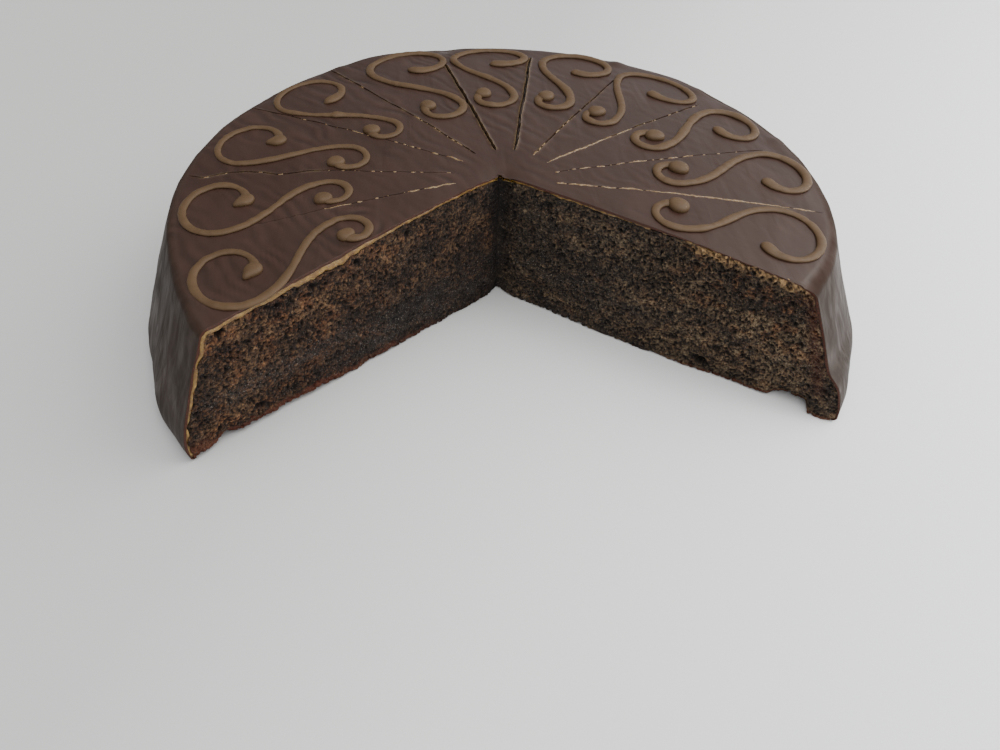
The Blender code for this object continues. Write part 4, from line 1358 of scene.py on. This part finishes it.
def sponge_material(name, damp):
    m = Nodes(name)
    tone, pit, wet = m.attribute("tone"), m.attribute("pit"), m.attribute("wet")
    crust, gold, warm, cool = m.attribute("crust"), m.attribute("gold"), m.attribute("warm"), m.attribute("cool")
    specks = m.noise(1600.0, 4.0, 0.72)
    patches = m.noise(330.0, 2.0, 0.5)
    # the tone carries painted highlight on raised grain as well as the crumb's own tone
    value = m.math("ADD", m.math("MULTIPLY", tone, 0.55), m.math("MULTIPLY", specks, 0.62))
    value = m.math("ADD", value, m.math("MULTIPLY", patches, 0.12))
    # painted shade: pores, seams and pits are darkened
    value = m.math("SUBTRACT", value, m.math("MULTIPLY", pit, 0.34))
    value = m.math("SUBTRACT", value, 0.12)
    colour = m.ramp(value, (0.20, (0.0050, 0.0030, 0.0021)), (0.40, (0.0195, 0.0110, 0.0063)),
                    (0.56, (0.051, 0.0287, 0.0152)), (0.71, (0.108, 0.063, 0.032)), (0.90, (0.23, 0.146, 0.078)))
    colour = m.mix(warm, colour, (1.34, 0.90, 0.66), "MULTIPLY")
    colour = m.mix(cool, colour, (1.16, 1.36, 1.52), "MULTIPLY")
    # painted shade: tiny pores are painted near black
    holes = m.span(m.noise(1150.0, 3.0, 0.62), 0.44, 0.40, 0.0, 0.92)
    colour = m.mix(holes, colour, (0.0056, 0.0036, 0.0028))
    damp_colour = m.ramp(specks, (0.36, (0.0050, 0.0042, 0.0040)), (0.66, (0.0340, 0.0262, 0.0210)))
    dark = m.mix(0.62, colour, damp_colour)
    colour = m.mix(m.math("MULTIPLY", wet, 0.9), colour, dark)
    red = m.ramp(specks, (0.35, (0.050, 0.0135, 0.0075)), (0.65, (0.125, 0.037, 0.0185)))
    colour = m.mix(m.math("MULTIPLY", crust, 0.80), colour, red)
    amber = m.ramp(value, (0.20, (0.050, 0.026, 0.0090)), (0.42, (0.180, 0.099, 0.040)), (0.70, (0.44, 0.275, 0.120)))
    colour = m.mix(m.math("MULTIPLY", gold, 0.88), colour, amber)
    # painted highlights: tiny pale glints in the colour, stronger where the crumb is wet
    painted_glint = m.span(m.noise(2500.0, 1.0, 0.5), 0.665, 0.70, 0.0, 1.0)
    colour = m.mix(m.math("MULTIPLY", painted_glint, m.span(wet, 0.0, 0.7, 0.22, 0.62)), colour, (0.34, 0.295, 0.26))
    m.link(colour, m.shader.inputs["Base Color"])
    rough = m.span(wet, 0.0, 1.0, 0.86, 0.46 if damp else 0.52)
    m.link(m.math("SUBTRACT", rough, m.math("MULTIPLY", gold, 0.35)), m.shader.inputs["Roughness"])
    m.shader.inputs["Specular IOR Level"].default_value = 0.30
    height = m.noise(2300.0, 4.0, 0.7)
    fine = m.relief(specks, 0.00045, 0.9)
    m.link(m.relief(height, 0.00022, 0.9, after=fine), m.shader.inputs["Normal"])
    return m.material


def glaze_material():
    m = Nodes("set_chocolate_glaze")
    lip, side, edge = m.attribute("lip"), m.attribute("side"), m.attribute("edge")
    wave, core = m.attribute("wave"), m.attribute("core")
    cloud = m.noise(38.0, 3.0, 0.55)
    fine = m.noise(420.0, 2.0, 0.5)
    colour = m.ramp(cloud, (0.30, (0.0305, 0.0147, 0.0108)), (0.70, (0.0392, 0.0190, 0.0142)))
    colour = m.mix(m.math("MULTIPLY", fine, 0.16), colour, (0.056, 0.028, 0.019))
    # painted shade and painted highlight: the top's colour is darkened and lightened along the ripples
    light = m.span(wave, -1.0, 1.0, 0.74, 1.26)
    folds = m.noise(95.0, 2.0, 0.55, m.mapped((1.0, 1.0, 0.26)), 1.6)
    # painted shade: the side's colour is darker than the top's, and its tint is shifted
    light = m.math("MULTIPLY", light, m.span(side, 0.0, 1.0, 1.0, 0.56))
    colour = m.mix(1.0, colour, m.shade(light), "MULTIPLY")
    colour = m.mix(side, colour, (0.99, 0.985, 0.76), "MULTIPLY")
    # painted reflections: lighter and darker streaks down the side
    painted_side_streaks = m.ramp(folds, (0.34, (0.86, 0.86, 0.85)), (0.50, (1.0, 1.0, 1.0)), (0.68, (1.22, 1.22, 1.16)))
    colour = m.mix(side, colour, painted_side_streaks, "MULTIPLY")
    broken = m.noise(1500.0, 3.0, 0.6)
    colour = m.mix(m.math("MULTIPLY", lip, m.span(broken, 0.35, 0.62, 0.20, 0.95)), colour, (0.200, 0.136, 0.066))
    torn = m.ramp(broken, (0.35, (0.030, 0.0100, 0.0066)), (0.7, (0.068, 0.0225, 0.0135)))
    colour = m.mix(edge, colour, torn)
    # painted shade: the deep bottoms of the scores are painted near black
    colour = m.mix(core, colour, (0.0042, 0.0022, 0.0016))
    m.link(colour, m.shader.inputs["Base Color"])
    streaks = m.noise(60.0, 2.0, 0.5, m.mapped((1.0, 0.28, 1.0), (0.0, 0.0, math.radians(37.0))))
    rough = m.span(streaks, 0.3, 0.7, 0.30, 0.42)
    rough = m.math("ADD", rough, m.math("MULTIPLY", m.span(side, 0.0, 0.3, 0.0, 1.0), m.span(folds, 0.36, 0.64, 0.36, 0.17)))
    bevel = m.math("MULTIPLY", side, m.math("SUBTRACT", 1.0, side))
    rough = m.math("ADD", rough, m.math("MULTIPLY", bevel, 0.9))
    m.link(m.math("ADD", rough, m.math("MULTIPLY", edge, 0.2)), m.shader.inputs["Roughness"])
    m.shader.inputs["Specular IOR Level"].default_value = 0.30
    m.shader.inputs["Specular Tint"].default_value = (1.0, 0.965, 0.885, 1.0)
    waves = m.noise(150.0, 2.0, 0.45, m.mapped((1.0, 0.22, 1.0), (0.0, 0.0, math.radians(37.0))), 0.6)
    skin = m.relief(waves, 0.0007, 0.45)
    falls = m.noise(120.0, 2.0, 0.45, m.mapped((1.0, 1.0, 0.25)), 1.5)
    skin = m.relief(m.math("MULTIPLY", falls, side), 0.0014, 0.45, after=skin)
    m.link(m.relief(m.noise(900.0, 3.0, 0.6), 0.00008, 0.35, after=skin), m.shader.inputs["Normal"])
    return m.material


def jam_material(name, bright):
    m = Nodes(name)
    blotch = m.noise(520.0, 3.0, 0.6)
    flecks = m.noise(1900.0, 2.0, 0.5)
    if bright:
        colour = m.ramp(blotch, (0.30, (0.115, 0.066, 0.024)), (0.55, (0.235, 0.155, 0.073)), (0.75, (0.35, 0.258, 0.140)))
    else:
        colour = m.ramp(blotch, (0.28, (0.085, 0.036, 0.0075)), (0.48, (0.166, 0.091, 0.0185)), (0.70, (0.285, 0.178, 0.044)))
    colour = m.mix(m.math("MULTIPLY", flecks, 0.30), colour, (0.13, 0.050, 0.014))
    m.link(colour, m.shader.inputs["Base Color"])
    m.link(m.span(flecks, 0.3, 0.7, 0.22, 0.42), m.shader.inputs["Roughness"])
    m.shader.inputs["Subsurface Weight"].default_value = 0.15
    m.shader.inputs["Subsurface Radius"].default_value = (1.0, 0.5, 0.15)
    m.shader.inputs["Subsurface Scale"].default_value = 0.0006
    m.link(m.relief(m.noise(1100.0, 3.0, 0.6), 0.00016, 0.6), m.shader.inputs["Normal"])
    return m.material


def piping_material():
    m = Nodes("piped_milk_chocolate")
    cloud = m.noise(140.0, 3.0, 0.55)
    fine = m.noise(1300.0, 2.0, 0.5)
    colour = m.ramp(cloud, (0.30, (0.0670, 0.0362, 0.0142)), (0.70, (0.0840, 0.0467, 0.0192)))
    colour = m.mix(m.math("MULTIPLY", fine, 0.14), colour, (0.130, 0.077, 0.040))
    m.link(colour, m.shader.inputs["Base Color"])
    m.link(m.span(fine, 0.3, 0.7, 0.52, 0.64), m.shader.inputs["Roughness"])
    m.shader.inputs["Specular IOR Level"].default_value = 0.32
    m.link(m.relief(m.noise(700.0, 3.0, 0.6), 0.00012, 0.45), m.shader.inputs["Normal"])
    return m.material


def floor_material():
    m = Nodes("pale_floor_painted_light")
    soft = m.noise(6.0, 2.0, 0.5)
    place = m.new("ShaderNodeSeparateXYZ")
    m.link(m.coords, place.inputs[0])
    # painted light: the floor is painted brighter towards the right, where the window lamp is, and darker on the left
    across = m.span(m.math("SUBTRACT", place.outputs["X"], m.math("MULTIPLY", place.outputs["Y"], 0.5)), -0.25, 0.35, 0.0, 1.0)
    colour = m.ramp(across, (0.0, (0.53, 0.53, 0.52)), (0.33, (0.57, 0.57, 0.565)), (0.5, (0.74, 0.745, 0.735)), (0.75, (0.88, 0.885, 0.89)), (1.0, (0.98, 0.98, 0.985)))
    colour = m.mix(m.math("MULTIPLY", soft, 0.05), colour, (0.60, 0.60, 0.60))
    m.link(colour, m.shader.inputs["Base Color"])
    m.shader.inputs["Roughness"].default_value = 0.8
    m.shader.inputs["Specular IOR Level"].default_value = 0.2
    return m.material


# --------------------------------------------------------------------- pieces
def place_piece(obj, material, nodes):
    obj.data.materials.append(material)
    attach(obj, "root")
    if nodes:
        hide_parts(*nodes)
    return obj


def main():
    crumb_dry = sponge_material("dark_chocolate_sponge", False)
    crumb_damp = sponge_material("soaked_sponge", True)
    jam = jam_material("apricot_jam", False)
    gold = jam_material("apricot_jam_bright", True)
    piping = piping_material()

    glaze = make_glaze()
    sharpen(glaze, 50.0)
    place_piece(glaze, glaze_material(), ["glaze"])
    coat = make_jam()
    place_piece(coat, jam, ["jam_coat"])
    for name, layer, node, slot, material in (
            ("sponge_upper_crumb", "upper", "sponge_upper", "sponge", crumb_dry),
            ("moist_band", "band", "jam_filling", "jam_band", crumb_damp),
            ("sponge_lower_crumb", "lower", "sponge_lower", "sponge", crumb_dry)):
        place_piece(make_layer(name, layer), material, [node])
    for number in range(SERVINGS):
        place_piece(make_strand(number), piping, ["scroll_%02d" % (number + 1)])
    place_piece(make_score_jam(), gold, [])

    # ---------------------------------------------------------------- studio
    bpy.ops.mesh.primitive_grid_add(x_subdivisions=8, y_subdivisions=8, size=4.0, location=(0.0, 0.0, -0.0002))
    floor = bpy.context.object
    floor.name = "studio_floor"
    floor.data.materials.append(floor_material())

    world = bpy.data.worlds.new("soft_studio")
    bpy.context.scene.world = world
    world.use_nodes = True
    tree = world.node_tree
    background = tree.nodes["Background"]
    # a pale room: bright overhead, behind the camera and on the right, dimmer
    # beyond the cake on the left
    coord = tree.nodes.new("ShaderNodeTexCoord")
    split = tree.nodes.new("ShaderNodeSeparateXYZ")
    tree.links.new(coord.outputs["Generated"], split.inputs[0])

    def calc(operation, a, b, c=0.0):
        node = tree.nodes.new("ShaderNodeMath")
        node.operation = operation
        for socket, value in zip(node.inputs, (a, b, c)):
            if isinstance(value, bpy.types.NodeSocket):
                tree.links.new(value, socket)
            else:
                socket.default_value = value
        return node.outputs[0]

    def ease(value, low, high, to_low, to_high):
        node = tree.nodes.new("ShaderNodeMapRange")
        node.interpolation_type = "SMOOTHSTEP"
        tree.links.new(value, node.inputs["Value"])
        for key, number in (("From Min", low), ("From Max", high), ("To Min", to_low), ("To Max", to_high)):
            node.inputs[key].default_value = number
        return node.outputs["Result"]

    beyond = ease(split.outputs["Y"], -0.2, 0.75, 0.0, 1.0)
    sideways = ease(split.outputs["X"], -0.25, 0.70, 0.21, 0.95)
    overhead = ease(split.outputs["Z"], 0.62, 0.97, 0.0, 1.0)
    open_side = ease(split.outputs["X"], -0.9, 0.9, 0.62, 1.45)
    level = calc("ADD", calc("MULTIPLY", beyond, sideways), calc("MULTIPLY", calc("SUBTRACT", 1.0, beyond), open_side))
    level = calc("ADD", calc("MULTIPLY", level, calc("SUBTRACT", 1.0, overhead)), calc("MULTIPLY", overhead, 1.5))
    tree.links.new(level, background.inputs["Strength"])
    background.inputs["Color"].default_value = (0.985, 0.99, 1.0, 1.0)

    for name, where, aimed, size, power, spread, colour in (
            ("window_right", (1.15, 0.25, 0.95), (0.0, 0.0, 0.03), 1.5, 16.6, 180.0, (1.0, 0.99, 0.97)),
            ("ceiling", (0.15, -0.35, 1.7), (0.0, 0.0, 0.03), 1.4, 12.0, 180.0, (1.0, 0.995, 0.98)),
            ("table_fill", (0.92, -0.28, 0.90), (0.68, -0.22, 0.0), 0.4, 5.2, 60.0, (0.99, 0.995, 1.0))):
        lamp = bpy.data.lights.new(name, "AREA")
        lamp.shape, lamp.size, lamp.energy, lamp.color = "SQUARE", size, power, colour
        lamp.spread = math.radians(spread)
        holder = bpy.data.objects.new(name, lamp)
        holder.location = where
        aim = Vector(aimed) - Vector(where)
        holder.rotation_euler = aim.to_track_quat("-Z", "Y").to_euler()
        bpy.context.scene.collection.objects.link(holder)

    # ---------------------------------------------------------------- camera
    data = bpy.data.cameras.new("camera")
    data.sensor_width, data.lens = 36.0, 32.4
    data.clip_start, data.clip_end = 0.01, 20.0
    camera = bpy.data.objects.new("camera", data)
    pitch, yaw, roll = math.radians(44.672), math.radians(8.861), math.radians(2.563)
    ahead = Vector((math.sin(yaw) * math.cos(pitch), math.cos(yaw) * math.cos(pitch), -math.sin(pitch)))
    right = Vector((math.cos(yaw), -math.sin(yaw), 0.0))
    up = right.cross(ahead)
    x_axis = math.cos(roll) * right + math.sin(roll) * up
    y_axis = -math.sin(roll) * right + math.cos(roll) * up
    camera.matrix_world = Matrix((
        (x_axis.x, y_axis.x, -ahead.x, -0.03924894),
        (x_axis.y, y_axis.y, -ahead.y, -0.25845595),
        (x_axis.z, y_axis.z, -ahead.z, 0.21564158),
        (0.0, 0.0, 0.0, 1.0)))
    bpy.context.scene.collection.objects.link(camera)
    bpy.context.scene.camera = camera


main()
